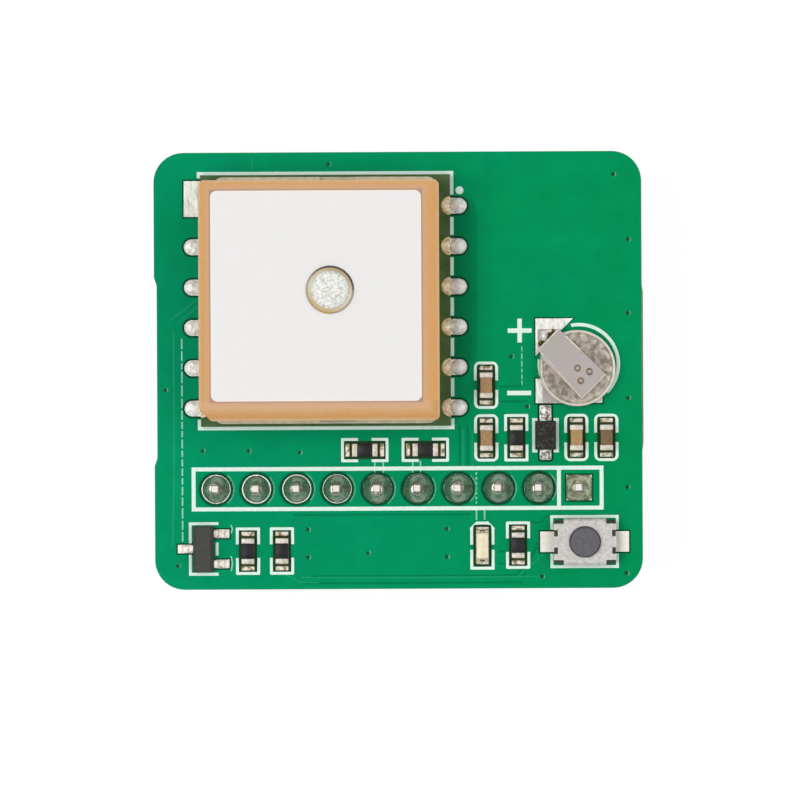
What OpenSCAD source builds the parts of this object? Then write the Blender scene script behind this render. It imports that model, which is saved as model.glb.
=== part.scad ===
// Satellite positioning receiver on a carrier board: a patch antenna receiver with soldered edge
// pads, a backup cell, a push button and chip parts on top, and a row of header pins below.
// Millimetres, +Z up. The origin is the middle of the pin row, on the seating plane of the header.

/* [Carrier board] */
// Thickness of the carrier board
board_t = 1.6; // [1:0.1:2.4]
// Corner radius of the carrier board
board_corner_r = 1.88; // [0.5:0.01:2.5]
// Bare board between the leftmost pads and the left edge
edge_left = 1.43; // [0.8:0.01:4]
// Bare board between the rightmost pads and the right edge
edge_right = 0.87; // [0.6:0.01:4]
// Bare board behind the receiver
edge_back = 1.44; // [0.8:0.01:5]
// Bare board in front of the lowest printed frame
edge_front = 0.93; // [0.6:0.01:4]
// Depth of the relief routed into the left edge
relief_d = 0.17; // [0.05:0.01:0.3]
// Height of the stub left on the right edge where the board broke out of its panel
stub_d = 0.07; // [0.03:0.01:0.15]
// Thickness of the tinned copper pads
pad_t = 0.04; // [0.03:0.005:0.06]
// Thickness of the printed legend
print_t = 0.025; // [0.015:0.005:0.03]
// Line width of the legend round the chip parts
print_line = 0.18; // [0.12:0.01:0.25]
// Gap from a part's pads to the outside of its printed frame
print_clear = 0.25; // [0.2:0.01:0.4]

/* [Pin header] */
// Number of pins in the row
pin_count = 10; // [8:1:14]
// Pitch of the pins
pin_pitch = 2.54; // [2.5:0.01:2.8]
// Side of a square pin
pin_w = 0.64; // [0.5:0.01:0.75]
// Length of a pin below the seating plane
pin_below = 6; // [3:0.1:12]
// Length of a pin above the carrier board
pin_above = 1.2; // [1:0.05:2]
// Length of the bevel at each end of a pin
pin_bevel = 0.25; // [0.1:0.05:0.5]
// Height of the plastic header body
header_h = 2.54; // [1.5:0.01:4]
// Width of the plastic header body
header_w = 2.5; // [2:0.05:2.8]
// Clearance of a header hole over the diagonal of its pin
hole_clear = 0.155; // [0.1:0.005:0.3]
// Width of the copper ring round a header hole
pad_ring = 0.39; // [0.25:0.005:0.5]
// Bare rim of a header pad round its solder joint
pad_rim = 0.14; // [0.05:0.01:0.2]
// Height of a header solder joint above its pad
joint_h = 0.85; // [0.5:0.05:0.9]

/* [Receiver] */
// Width of the receiver board along the pin row
receiver_w = 15.72; // [14:0.01:20]
// Length of the receiver board across the pin row
receiver_l = 15.82; // [14:0.01:20]
// Thickness of the receiver board
receiver_t = 0.8; // [0.6:0.05:1.2]
// Middle of the receiver along the pin row
receiver_x = -4.48; // [-6:0.005:-3]
// Pitch of the edge pads
edge_pitch = 2.54; // [2:0.01:3]
// Least distance from an edge pad to the end of its side
edge_margin = 1.2; // [1.1:0.05:2]
// Offset of the pad row from the middle of the receiver
edge_shift = -0.41; // [-0.5:0.01:0.5]
// Diameter of an edge notch
notch_d = 1; // [0.8:0.05:1.1]
// Reach of the carrier's pads outside the receiver
pad_reach = 1.05; // [0.7:0.05:1.3]
// Bare strip of the receiver board beside the shield can
shield_strip = 0.845; // [0.7:0.005:1.2]
// Bare ledge of the receiver board in front of and behind the shield can
shield_ledge = 0.17; // [0.1:0.01:1]
// Height of the shield can
shield_h = 1.4; // [1.2:0.05:2]
// Sheet thickness of the shield can
shield_t = 0.2; // [0.1:0.01:0.3]

/* [Antenna] */
// Distance from the side of the ceramic to the receiver board's edge
ceramic_inset = 0.36; // [0.2:0.005:1]
// Distance from the front and back of the ceramic to the receiver board's edge
ceramic_ledge = 0.41; // [0.2:0.005:1]
// Thickness of the ceramic
ceramic_t = 4; // [2:0.1:6]
// Bare ceramic round the silver patch
patch_margin = 0.935; // [0.6:0.005:2]
// Thickness of the bonding tape
tape_t = 0.15; // [0.1:0.01:0.4]
// Diameter of the feed pin
feed_d = 0.9; // [0.6:0.05:1]
// Diameter of the feed pin's head
feed_head_d = 3; // [2:0.05:3.3]
// Width of the feed pin's head that shows round its solder
feed_rim = 0.33; // [0.1:0.01:0.5]

/* [Parts under the shield] */
// Side of the square receiver chip
processor_w = 4.2; // [3:0.1:4.5]
// Height of the receiver chip
processor_h = 0.8; // [0.6:0.05:0.9]
// Length of the clock crystal
crystal_l = 3.2; // [2:0.1:3.5]
// Width of the clock crystal
crystal_w = 1.5; // [1:0.1:1.6]
// Length of the reference oscillator
oscillator_l = 2.5; // [2:0.1:3]
// Width of the reference oscillator
oscillator_w = 2; // [1.6:0.1:2.2]
// Height of the lids of the oscillator and the crystal
lid_h = 0.75; // [0.5:0.05:0.9]
// Length of the band filter
filter_l = 1.4; // [1:0.1:1.6]
// Width of the band filter
filter_w = 1.1; // [0.8:0.1:1.3]
// Length of the low-noise amplifier
amplifier_l = 1.5; // [1:0.1:1.7]
// Width of the low-noise amplifier
amplifier_w = 1; // [0.8:0.1:1.2]
// Height of the band filter and the amplifier
low_part_h = 0.5; // [0.4:0.05:0.8]

/* [Backup cell] */
// Diameter of the cell
cell_d = 4.8; // [4.2:0.05:6]
// Height of the cell
cell_h = 1.2; // [1:0.05:2]
// Sheet thickness of the cell's tabs
tab_t = 0.12; // [0.08:0.01:0.2]
// Width of the top tab where it lies on the cell
tab_w = 2.15; // [1.9:0.05:2.7]

/* [Push button] */
// Width of the button's body along the pin row
button_w = 3.95; // [3.6:0.05:4.4]
// Length of the button's body across the pin row
button_l = 2.95; // [2.7:0.05:3.4]
// Height of the button's moulded base
button_h = 1.1; // [1:0.05:1.6]
// Overall width across the button's terminals
button_span = 5.6; // [5:0.05:6.2]
// Diameter of the plunger's stem
plunger_d = 1.86; // [1.4:0.02:2]
// Height of the plunger above the cover
plunger_h = 0.5; // [0.3:0.05:1]
// Travel of the plunger
plunger_travel = 0.25; // [0.1:0.01:0.25]

/* [Chip parts] */
// Length of a chip resistor or capacitor
chip_l = 1.6; // [1.5:0.05:1.8]
// Width of a chip resistor or capacitor
chip_w = 0.8; // [0.7:0.05:0.95]
// Height of a chip resistor
resistor_h = 0.45; // [0.35:0.05:0.6]
// Height of a chip capacitor
capacitor_h = 0.8; // [0.5:0.05:0.9]
// Length of a chip's end caps
end_cap_l = 0.32; // [0.2:0.02:0.4]
// Reach of a pad past the end of its part
pad_out = 0.44; // [0.3:0.01:0.55]
// Reach of a pad past the side of its part
pad_side = 0.11; // [0.03:0.01:0.2]
// Space between neighbouring columns of chip parts
column_gap = 1.09; // [1:0.01:1.3]

/* [Lamp, diode and transistor] */
// Length of the indicator lamp
lamp_l = 1.95; // [1.5:0.05:2.2]
// Width of the indicator lamp
lamp_w = 0.8; // [0.7:0.05:0.95]
// Height of the lamp's base
lamp_base_h = 0.3; // [0.2:0.05:0.5]
// Height of the lamp's lens
lamp_lens_h = 0.35; // [0.2:0.05:0.6]
// Length of the diode's body
diode_l = 1.82; // [1.6:0.02:2]
// Width of the diode's body
diode_w = 1.3; // [1:0.05:1.4]
// Height of the diode's body
diode_h = 0.9; // [0.7:0.05:1.1]
// Length of the transistor's body
transistor_l = 2.9; // [2.8:0.05:3.3]
// Width of the transistor's body
transistor_w = 1.32; // [1.2:0.02:1.6]
// Height of the transistor's body
transistor_h = 1; // [0.8:0.05:1.2]

/* [Hidden] */
$fn = 48;
// A cut runs past the face that it opens by this much
past = 0.1;
// Clearance left between curved faces that fit into each other
seat = 0.01;

// Levels, from the seating plane up
board_z = header_h + pad_t;
board_top = board_z + board_t;
pad_top = board_top + pad_t;
receiver_top = pad_top + receiver_t;
shield_top = receiver_top + shield_h;
silver_t = 0.03;
tape_top = shield_top + tape_t;
ceramic_z = tape_top + silver_t;
ceramic_top = ceramic_z + ceramic_t;
patch_top = ceramic_top + silver_t;
feed_head_h = 0.12;
feed_head_top = patch_top + feed_head_h;

// Plated holes of the header
row_half = (pin_count - 1) * pin_pitch / 2;
pin_reach = pin_w / sqrt(2);
header_hole_d = 2 * pin_reach + hole_clear;
header_pad_d = header_hole_d + 2 * pad_ring;
first_pad_w = header_pad_d - 0.24;
hole_plating = 0.03;

// Frames printed round the parts
header_line = 0.25;
header_frame_w = pin_count * pin_pitch + 0.54;
header_frame_l = header_w + 0.27;
chip_frame_w = chip_w + 2 * pad_side + 2 * print_clear;
chip_frame_l = chip_l + 2 * pad_out + 2 * print_clear;
button_frame_w = button_w + 0.36;
button_frame_l = button_l + 0.38;

// Spaces behind the header: header frame to back row, back row to receiver, receiver to columns,
// chip to chip, column to cell
back_gap = 0.285;
receiver_gap = 0.75;
column_inset = 0.77;
pair_gap = 0.83;
stack_space = 0.34;
cell_gap = 0.48;

// Places behind the header, each set off from the row or part next to it
back_row = header_frame_l / 2 + back_gap;
receiver_y = back_row + chip_frame_w + receiver_gap + receiver_l / 2;
first_column = receiver_x + receiver_w / 2 + pad_reach + column_inset + chip_w / 2;
function column(i) = first_column + i * (chip_w + column_gap);
column_y = back_row + chip_frame_l / 2;
pair_x = -0.15;
pair_pitch = chip_frame_l + pair_gap;
diode_pos = [column(2) - 0.05, column_y + 0.15];
cell_pos = [column(3) + 0.06, back_row + chip_frame_l + cell_gap + cell_d / 2];

// Spaces in front of the header: header frame to button frame, that to the chips, transistor to chip,
// chip to chip, chip to button, lamp to chip
front_gap = 0.345;
front_drop = 0.38;
low_drop = 0.3;
transistor_gap = 0.4;
twin_gap = 0.62;
button_gap = 0.63;
lamp_gap = 0.73;

// Places in front of the header
front_row = -(header_frame_l / 2 + front_gap);
front_y = front_row - front_drop - chip_frame_l / 2;
lead_w = 0.45;
lead_t = 0.12;
lead_span = transistor_w + 1.28;
lead_out = 0.33;
transistor_pitch = 0.95;
transistor_pos = [-row_half - 0.8, front_y - low_drop / 2];
transistor_reach = lead_span / 2 + lead_out;
button_pos = [row_half + 0.33, front_row - button_frame_l / 2];
left_chip_x = transistor_pos.x + transistor_reach + transistor_gap + chip_frame_w / 2;
right_chip_x = button_pos.x - button_span / 2 - button_gap - chip_frame_w / 2;
lamp_pos = [right_chip_x - chip_frame_w - lamp_gap, front_y - 0.02];

// Each chip part has its place and its turn about the vertical
RESISTORS = [
    [[pair_x - pair_pitch / 2, back_row + chip_frame_w / 2], 90],
    [[pair_x + pair_pitch / 2, back_row + chip_frame_w / 2], 90],
    [[column(1), column_y], 0],
    [[right_chip_x, front_y], 0],
    [[left_chip_x, front_y - low_drop], 0],
    [[left_chip_x + chip_frame_w + twin_gap, front_y - low_drop], 0],
];
CAPACITORS = [
    [[column(0), column_y + chip_frame_l + stack_space], 0],
    [[column(0), column_y], 0],
    [[column(3), column_y], 0],
    [[column(4), column_y], 0],
];

// Outline of the carrier board
board_left = min(receiver_x - receiver_w / 2 - pad_reach, transistor_pos.x - transistor_reach) - edge_left;
board_right = max(button_pos.x + button_span / 2, column(4) + chip_frame_w / 2) + edge_right;
board_back = receiver_y + receiver_l / 2 + edge_back;
board_front = min(front_y - low_drop - chip_frame_l / 2, button_pos.y - button_frame_l / 2) - edge_front;
step_ramp = 0.5;

// Receiver details
edge_pads = floor((receiver_l - 2 * edge_margin) / edge_pitch) + 1;
first_pad_l = 2.27;
notch_plating = 0.08;
land_r = notch_d / 2 + 0.08;
pebble_r = notch_d / 2 - 0.03;
pebble_h = 0.775 * receiver_t;
pebble_arc_r = (pebble_r * pebble_r + pebble_h * pebble_h) / (2 * pebble_h);
shield_w = receiver_w - 2 * shield_strip;
shield_l = receiver_l - 2 * shield_ledge;
shield_corner_r = 0.6;
shield_slot_w = 2.2;
shield_slot_h = 0.5;

// Spaces between the shield's walls and the parts under it
side_space = 1.6;
front_space = 1.4;
back_space = 3.4;

// Antenna details
ceramic_w = receiver_w - 2 * ceramic_inset;
ceramic_l = receiver_l - 2 * ceramic_ledge;
ceramic_pos = [receiver_x - 0.365, receiver_y - 0.045];
ceramic_corner_r = 0.35;
ceramic_chamfer = 0.75;
ground_margin = 0.3;
tape_margin = 0.2;
patch_w = ceramic_w - 2 * patch_margin;
patch_l = ceramic_l - 2 * patch_margin;
patch_pos = ceramic_pos + [-0.18, 0.28];
patch_corner_r = 0.4;
feed_pos = ceramic_pos + [0.69, 0.65];
feed_hole_d = feed_d + 0.2;
feed_clear_d = feed_d + 0.9;
feed_solder_h = 0.22;

// Backup cell details
cell_z = pad_top + tab_t;
cell_top = cell_z + cell_h;
cell_edge_r = 0.22;
cell_cap_d = cell_d - 0.7;
cell_cap_h = 0.4;
cell_rim_z = 0.12;
gasket_w = 0.13;
tab_fold = cell_d / 2 + 0.05;
tab_neck_w = tab_w - 0.35;
tab_shift = 0.1;
tab_end = cell_d / 2 - 0.85;
tab_shoulder = cell_d / 2 - 0.4;
plus_pad = 2.38;
minus_pad_l = 1.55;
ring_r = cell_d / 2 + 0.2;
ring_line = 0.22;
ring_pos = cell_pos + [0.12, 0.25];
ring_end = -45.5;
cell_pads_left = cell_pos.x - cell_d / 2 - 0.21;
minus_pad_right = ring_pos.x + (ring_r - ring_line) * cos(ring_end) - 0.2;

// Push button details
cover_t = 0.12;
cover_bend_r = 0.2;
running = 0.05;
stack_gap = 0.02;
well_wall = 0.155;
well_d = button_l - 2 * cover_t - 2 * well_wall;
dome_d = well_d - 0.3;
dome_h = plunger_travel + 0.05;
dome_t = 0.06;
flange_h = 0.25;
flange_d = well_d - 2 * running;
flange_z = button_h - stack_gap - flange_h;
well_floor = flange_z - stack_gap - dome_h;
terminal_w = 1.3;
terminal_t = 0.15;

// Chip part, lamp, diode and transistor details
cap_t = 0.03;
fillet_steps = 5;
lamp_pad_out = 0.22;
lamp_cap_l = 0.22;
lamp_lens_inset = 0.15;
die_w = 0.25;
die_h = 0.12;
moulding_slope = 0.12;
shoulder_slope = 0.4;
part_line = 0.45;
standoff = 0.05;
diode_reach = diode_l / 2 + 0.36;
diode_back = diode_reach + 0.63;
diode_front = diode_reach + 0.28;
diode_pad_w = 0.74;
pad_corner_r = 0.1;

// Shared shapes

// Rectangle with round corners, centred
module rounded_rect(w, l, r) {
    square([w, l - 2 * r], center = true);
    square([w - 2 * r, l], center = true);
    for (sx = [-1, 1], sy = [-1, 1])
        translate([sx * (w / 2 - r), sy * (l / 2 - r)])
            circle(r = r);
}

// Block standing on z = 0, centred in plan
module block(w, l, h) {
    translate([-w / 2, -l / 2, 0])
        cube([w, l, h]);
}

// Moulded block with sloping sides: widest at the parting line, and narrower above and below it
module moulded_block(w, l, h, part_z, side_slope, end_slope) {
    module side(width, slope) {
        polygon([
            [-width / 2 + slope * part_z, 0],
            [width / 2 - slope * part_z, 0],
            [width / 2, part_z],
            [width / 2 - slope * (h - part_z), h],
            [-width / 2 + slope * (h - part_z), h],
            [-width / 2, part_z],
        ]);
    }
    intersection() {
        rotate([90, 0, 0])
            linear_extrude(l, center = true)
                side(w, side_slope);
        rotate([90, 0, 90])
            linear_extrude(w, center = true)
                side(l, end_slope);
    }
}

// Hollow solder fillet that runs along +X from the face at x = 0, standing on z = 0
module fillet(run, rise, width) {
    rotate([90, 0, 0])
        linear_extrude(width, center = true)
            polygon(concat(
                [[0, 0], [run, 0], [run, 0.04]],
                [for (i = [1:fillet_steps])
                    let (a = 90 * i / fillet_steps)
                    [run * (1 - sin(a)), 0.04 + (rise - 0.04) * (1 - cos(a))]]
            ));
}

// Bent sheet lead along +X: out of the body at height z1, down to a foot that ends at x = reach
module gull_lead(x0, z1, bend_x, reach, t, w) {
    rotate([90, 0, 0])
        linear_extrude(w, center = true)
            polygon([
                [x0, z1], [x0, z1 - t], [bend_x, z1 - t], [bend_x + t / 2, 0],
                [reach, 0], [reach, t], [bend_x + 1.5 * t, t], [bend_x + t, z1],
            ]);
}

// Place and turn of a chip part on its pads
module at_chip(part) {
    translate([part[0].x, part[0].y, pad_top])
        rotate([0, 0, part[1]])
            children();
}

// Straight printed line between two points, with square ends
module print_stroke(a, b, w) {
    d = b - a;
    translate(a)
        rotate(atan2(d.y, d.x))
            translate([-w / 2, -w / 2])
                square([norm(d) + w, w]);
}

// Printed line through a list of points
module print_path(points, w) {
    for (i = [0:len(points) - 2])
        print_stroke(points[i], points[i + 1], w);
}

// Two facing brackets of a w x l frame with corners of radius r, apart by a gap halfway
module brackets(w, l, gap, r) {
    difference() {
        rounded_rect(w, l, r);
        rounded_rect(w - 2 * print_line, l - 2 * print_line, max(r - print_line, 0.03));
        square([w + 1, gap], center = true);
    }
}

// Places of the receiver's edge pads: side is 1 on the right and -1 on the left
function edge_y(i) = receiver_y + edge_shift + (i - (edge_pads - 1) / 2) * edge_pitch;
module at_edge_pads(first_left = true) {
    for (i = [0:edge_pads - 1], side = [1, -1])
        if (first_left || side > 0 || i < edge_pads - 1)
            translate([receiver_x + side * receiver_w / 2, edge_y(i), 0])
                rotate([0, 0, side > 0 ? 0 : 180])
                    children();
}

module at_pins() {
    for (i = [0:pin_count - 1])
        translate([-row_half + i * pin_pitch, 0, 0])
            children();
}

// Carrier board

// Shallow step along an edge on x = 0, from y0 to y1, with a ramp at each end
module edge_step(depth, y0, y1) {
    polygon([
        [-past, y0], [0, y0], [depth, y0 + step_ramp],
        [depth, y1 - step_ramp], [0, y1], [-past, y1],
    ]);
}

// Rounded outline with a shallow relief in its left edge and a stub on its right one
module board_outline() {
    difference() {
        translate([(board_left + board_right) / 2, (board_front + board_back) / 2])
            rounded_rect(board_right - board_left, board_back - board_front, board_corner_r);
        translate([board_left, 0])
            edge_step(relief_d, back_row - 0.2, receiver_y + 1.5);
    }
    translate([board_right, 0])
        edge_step(stub_d, back_row + 0.65, receiver_y + 0.95);
}

module board() {
    color("seagreen")
        difference() {
            translate([0, 0, board_z])
                linear_extrude(board_t)
                    board_outline();
            at_pins()
                translate([0, 0, board_z - past])
                    cylinder(d = header_hole_d, h = board_t + 2 * past);
        }
}

// Pair of pads under a chip part that lies along Y
module chip_pads(l, w, out = pad_out) {
    inner = l / 2 - end_cap_l - 0.04;
    outer = l / 2 + out;
    for (s = [-1, 1])
        translate([0, s * (inner + outer) / 2])
            rounded_rect(w, outer - inner, pad_corner_r);
}

// Pads under the diode: the back one runs on towards the cell
module diode_pads() {
    inner = diode_l / 2 - 0.26;
    for (p = [[1, diode_back], [-1, diode_front]])
        translate([0, p[0] * (inner + p[1]) / 2])
            rounded_rect(diode_pad_w, p[1] - inner, pad_corner_r);
}

// Pads under the transistor: one on the left, two on the right
module transistor_pads() {
    inner = transistor_w / 2 + 0.05;
    for (p = [[-1, 0], [1, transistor_pitch], [1, -transistor_pitch]])
        translate([p[0] * (inner + transistor_reach) / 2, p[1]])
            square([transistor_reach - inner, lead_w + 0.1], center = true);
}

// Pads of the receiver's edge: the first one on the left is a longer rectangle
module receiver_pads() {
    under = 0.7;
    for (i = [0:edge_pads - 1], side = [1, -1])
        translate([receiver_x + side * receiver_w / 2, edge_y(i)])
            scale([side, 1])
                if (side < 0 && i == edge_pads - 1)
                    translate([-under, (notch_d - first_pad_l) / 2])
                        square([under + pad_reach, first_pad_l]);
                else {
                    translate([-under, -notch_d / 2])
                        square([under + pad_reach - notch_d / 2, notch_d]);
                    translate([pad_reach - notch_d / 2, 0])
                        circle(d = notch_d);
                }
}

// Triangular plus pad and straight minus pad of the cell
module cell_pads() {
    translate([cell_pads_left, cell_pos.y + cell_d / 2 + 0.74])
        polygon([[0, 0], [plus_pad, 0], [0, -plus_pad]]);
    translate([cell_pads_left, cell_pos.y - cell_d / 2 + 0.2])
        square([minus_pad_right - cell_pads_left, minus_pad_l]);
}

module board_pads() {
    color("gainsboro") {
        translate([0, 0, board_top])
            linear_extrude(pad_t) {
                receiver_pads();
                for (part = concat(RESISTORS, CAPACITORS))
                    translate(part[0])
                        rotate(part[1])
                            chip_pads(chip_l, chip_w + 2 * pad_side);
                translate(lamp_pos)
                    chip_pads(lamp_l, lamp_w + 0.1, lamp_pad_out);
                translate(diode_pos)
                    diode_pads();
                translate(transistor_pos)
                    transistor_pads();
                cell_pads();
                for (s = [-1, 1])
                    translate(button_pos + [s * (button_span / 2 - 0.5), 0])
                        square([1, terminal_w], center = true);
            }
        for (i = [0:pin_count - 1])
            translate([-row_half + i * pin_pitch, 0, 0])
                header_pad(i < pin_count - 1 ? header_pad_d : first_pad_w);
        translate([row_half, 0, 0])
            first_land();
    }
}

// Plated hole with a round land on both faces of the board
module header_pad(land_d) {
    hole_r = header_hole_d / 2 - seat;
    bore_r = hole_r - hole_plating;
    land_r = land_d / 2;
    translate([0, 0, board_z])
        rotate_extrude()
            polygon([
                [bore_r, -pad_t], [land_r, -pad_t], [land_r, 0], [hole_r, 0],
                [hole_r, board_t], [land_r, board_t], [land_r, board_t + pad_t], [bore_r, board_t + pad_t],
            ]);
}

// Square land that marks the first pin
module first_land() {
    translate([0, 0, board_top])
        linear_extrude(pad_t)
            difference() {
                square(first_pad_w, center = true);
                circle(d = first_pad_w - 0.1);
            }
}

// Printed legend

module header_print() {
    x = (header_frame_w - header_line) / 2;
    y = (header_frame_l - header_line) / 2;
    cell_x = row_half - pin_pitch / 2;
    print_path([[-x, -y], [x, -y], [x, y], [-x, y], [-x, -y]], header_line);
    print_stroke([cell_x, -y], [cell_x, y], header_line);
}

// Outline of the receiver, broken at the edge pads, with a dot at its first pad
module receiver_print() {
    line = 0.24;
    x = receiver_w / 2 + 0.1;
    y = receiver_l / 2 + 0.1;
    dot_d = 0.5;
    difference() {
        translate([receiver_x, receiver_y])
            print_path([[-x, -y], [x, -y], [x, y], [-x, y], [-x, -y]], line);
        for (i = [0:edge_pads - 1], side = [1, -1])
            translate([receiver_x + side * x, edge_y(i)])
                square([1, notch_d + 0.4], center = true);
        translate([receiver_x - x, edge_y(edge_pads - 1) + notch_d / 2])
            square([1, first_pad_l + 0.33], center = true);
    }
    translate([receiver_x + x + 0.5, edge_y(edge_pads - 1) + 0.97])
        circle(d = dot_d);
}

// Part of the printed ring round the cell, between two angles
module ring_sector(from, to) {
    steps = 4;
    intersection() {
        difference() {
            circle(r = ring_r);
            circle(r = ring_r - ring_line);
        }
        polygon(concat([[0, 0]],
            [for (i = [0:steps])
                let (a = from + (to - from) * i / steps)
                2 * ring_r * [cos(a), sin(a)]]));
    }
}

// Two arcs round the cell and its polarity signs
module cell_print() {
    sign_l = 1.5;
    sign_line = 0.28;
    sign_x = cell_pos.x - cell_d / 2 - 1.2;
    translate(ring_pos) {
        ring_sector(ring_end, 101);
        ring_sector(173, 196);
    }
    translate([sign_x, cell_pos.y + 2.38]) {
        square([sign_l, sign_line], center = true);
        square([sign_line, sign_l], center = true);
    }
    translate([sign_x - 0.05, cell_pos.y - 1.55])
        square([sign_l, sign_line], center = true);
}

// Frame with bevelled corners at the back, where the lamp's marked end is
module lamp_print() {
    x = (lamp_w + 2 * pad_side + 2 * print_clear) / 2;
    y = lamp_l / 2 + lamp_pad_out + print_clear + 0.065;
    bevel = 0.42;
    gap_y = -0.1;
    difference() {
        square([2 * x, 2 * y], center = true);
        square([2 * (x - print_line), 2 * (y - print_line)], center = true);
        translate([-x - 1, gap_y - 0.16])
            square([2 * x + 2, 0.32]);
        for (s = [-1, 1])
            translate([s * x, y])
                rotate(45)
                    square(bevel * sqrt(2), center = true);
    }
    for (s = [-1, 1])
        print_stroke([s * (x - print_line / 2), y - bevel],
                     [s * (x - bevel), y - print_line / 2], print_line);
}

module diode_print() {
    x = diode_w / 2 + 0.1;
    y = diode_l / 2 + 0.08;
    for (s = [-1, 1])
        print_path([[s * (x - 0.15), y], [s * x, y], [s * x, -y], [s * (x - 0.15), -y]], print_line);
}

module transistor_print() {
    x = transistor_w / 2 + 0.18;
    y = transistor_l / 2 + 0.14;
    lead_gap = 0.45;
    for (s = [-1, 1])
        print_path([[-x, s * lead_gap], [-x, s * y], [x, s * y]], print_line);
    print_stroke([x, 0.5 - print_line], [x, -0.5 + print_line], print_line);
}

module button_print() {
    x = (button_frame_w - print_line) / 2;
    y = (button_frame_l - print_line) / 2;
    gap = terminal_w / 2 + 0.2;
    for (s = [-1, 1])
        print_path([[-x, s * gap], [-x, s * y], [x, s * y], [x, s * gap]], print_line);
}

module board_print() {
    color("white")
        translate([0, 0, board_top])
            linear_extrude(print_t) {
                header_print();
                receiver_print();
                cell_print();
                for (part = RESISTORS)
                    translate(part[0])
                        rotate(part[1])
                            brackets(chip_frame_w, chip_frame_l, 0.85, 0.08);
                for (part = CAPACITORS)
                    translate(part[0])
                        rotate(part[1])
                            brackets(chip_frame_w, chip_frame_l, 0.6, 0.38);
                translate(lamp_pos)
                    lamp_print();
                translate(diode_pos)
                    diode_print();
                translate(transistor_pos)
                    transistor_print();
                translate(button_pos)
                    button_print();
            }
}

// Receiver

module receiver_board() {
    color("darkolivegreen")
        difference() {
            translate([receiver_x, receiver_y, pad_top])
                block(receiver_w, receiver_l, receiver_t);
            at_edge_pads()
                translate([0, 0, pad_top - past])
                    cylinder(d = notch_d, h = receiver_t + 2 * past);
        }
}

// Gold lining of each notch, with a half ring on the receiver board's top
module receiver_edge_plating() {
    outer = notch_d / 2 - seat;
    inner = notch_d / 2 - notch_plating;
    color("goldenrod")
        at_edge_pads()
            translate([0, 0, pad_top])
                rotate([0, 0, 90])
                    rotate_extrude(angle = 180)
                        polygon([
                            [inner, 0], [outer, 0], [outer, receiver_t], [land_r, receiver_t],
                            [land_r, receiver_t + silver_t], [inner, receiver_t + silver_t],
                        ]);
}

// Round-backed solder that fills each notch and runs out along the carrier's round pads
module receiver_solder() {
    run = pad_reach - notch_d / 2;
    module section() {
        intersection() {
            translate([0, pebble_h - pebble_arc_r])
                circle(r = pebble_arc_r);
            translate([-pebble_arc_r, 0])
                square([2 * pebble_arc_r, pebble_h]);
        }
    }
    module half_section() {
        intersection() {
            section();
            square([pebble_arc_r, pebble_h]);
        }
    }
    color("lightgray") {
        at_edge_pads()
            translate([0, 0, pad_top])
                cylinder(r = notch_d / 2 - notch_plating - seat, h = pebble_h);
        at_edge_pads(first_left = false)
            translate([0, 0, pad_top]) {
                rotate([90, 0, 90])
                    linear_extrude(run)
                        section();
                translate([run, 0, 0])
                    rotate([0, 0, -90])
                        rotate_extrude(angle = 180)
                            half_section();
            }
    }
}

// Drawn can that covers the receiver's parts, with a slot in its front and back edges
module receiver_shield() {
    inside = 2 * shield_t;
    color("silver")
        difference() {
            translate([receiver_x, receiver_y, receiver_top])
                linear_extrude(shield_h)
                    rounded_rect(shield_w, shield_l, shield_corner_r);
            translate([receiver_x, receiver_y, receiver_top - past])
                linear_extrude(shield_h - shield_t + past)
                    rounded_rect(shield_w - inside, shield_l - inside, shield_corner_r - shield_t);
            for (s = [-1, 1])
                translate([receiver_x + 0.8, receiver_y + s * shield_l / 2, shield_top - shield_slot_h])
                    block(shield_slot_w, 3 * shield_t, shield_slot_h + past);
            translate([feed_pos.x, feed_pos.y, shield_top - shield_t - past])
                cylinder(d = feed_clear_d, h = shield_t + 2 * past);
        }
}

// Part under the shield, standing on the receiver board with one corner cut. It is placed from the shield's
// wall on side sx and sy, which leaves dx and dy of space between
module inner_part(sx, sy, dx, dy, w, l, h) {
    corner = min(w, l) / 8;
    translate([receiver_x + sx * (shield_w / 2 - shield_t - dx - w / 2),
               receiver_y + sy * (shield_l / 2 - shield_t - dy - l / 2), receiver_top])
        linear_extrude(h)
            polygon([
                [-w / 2, -l / 2], [w / 2, -l / 2], [w / 2, l / 2],
                [-w / 2 + corner, l / 2], [-w / 2, l / 2 - corner],
            ]);
}

module receiver_chip() {
    color("dimgray")
        inner_part(-1, -1, side_space, front_space + crystal_w, processor_w, processor_w, processor_h);
}

module band_filter() {
    color("tan")
        inner_part(1, 1, 2 * side_space, back_space, filter_l, filter_w, low_part_h);
}

module reference_oscillator() {
    color("khaki")
        inner_part(1, -1, side_space, front_space + crystal_w + 0.5, oscillator_w, oscillator_l, lid_h);
}

module clock_crystal() {
    color("khaki")
        inner_part(1, -1, 2 * side_space, front_space - 0.5, crystal_l, crystal_w, lid_h);
}

module low_noise_amplifier() {
    color("dimgray")
        inner_part(-1, 1, 2 * side_space, back_space, amplifier_l, amplifier_w, low_part_h);
}

// Antenna

module feed_clearance(d) {
    translate([feed_pos.x, feed_pos.y, receiver_top])
        cylinder(d = d, h = patch_top - receiver_top + past);
}

module antenna_tape() {
    w = min(shield_w, ceramic_w) - 2 * tape_margin;
    l = min(shield_l, ceramic_l) - 2 * tape_margin;
    color("whitesmoke")
        difference() {
            translate([receiver_x, receiver_y, shield_top])
                block(w, l, tape_t);
            feed_clearance(feed_clear_d);
        }
}

module antenna_ground_plane() {
    color("silver")
        difference() {
            translate([ceramic_pos.x, ceramic_pos.y, tape_top])
                block(ceramic_w - 2 * ground_margin, ceramic_l - 2 * ground_margin, silver_t);
            feed_clearance(feed_clear_d);
        }
}

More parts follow.
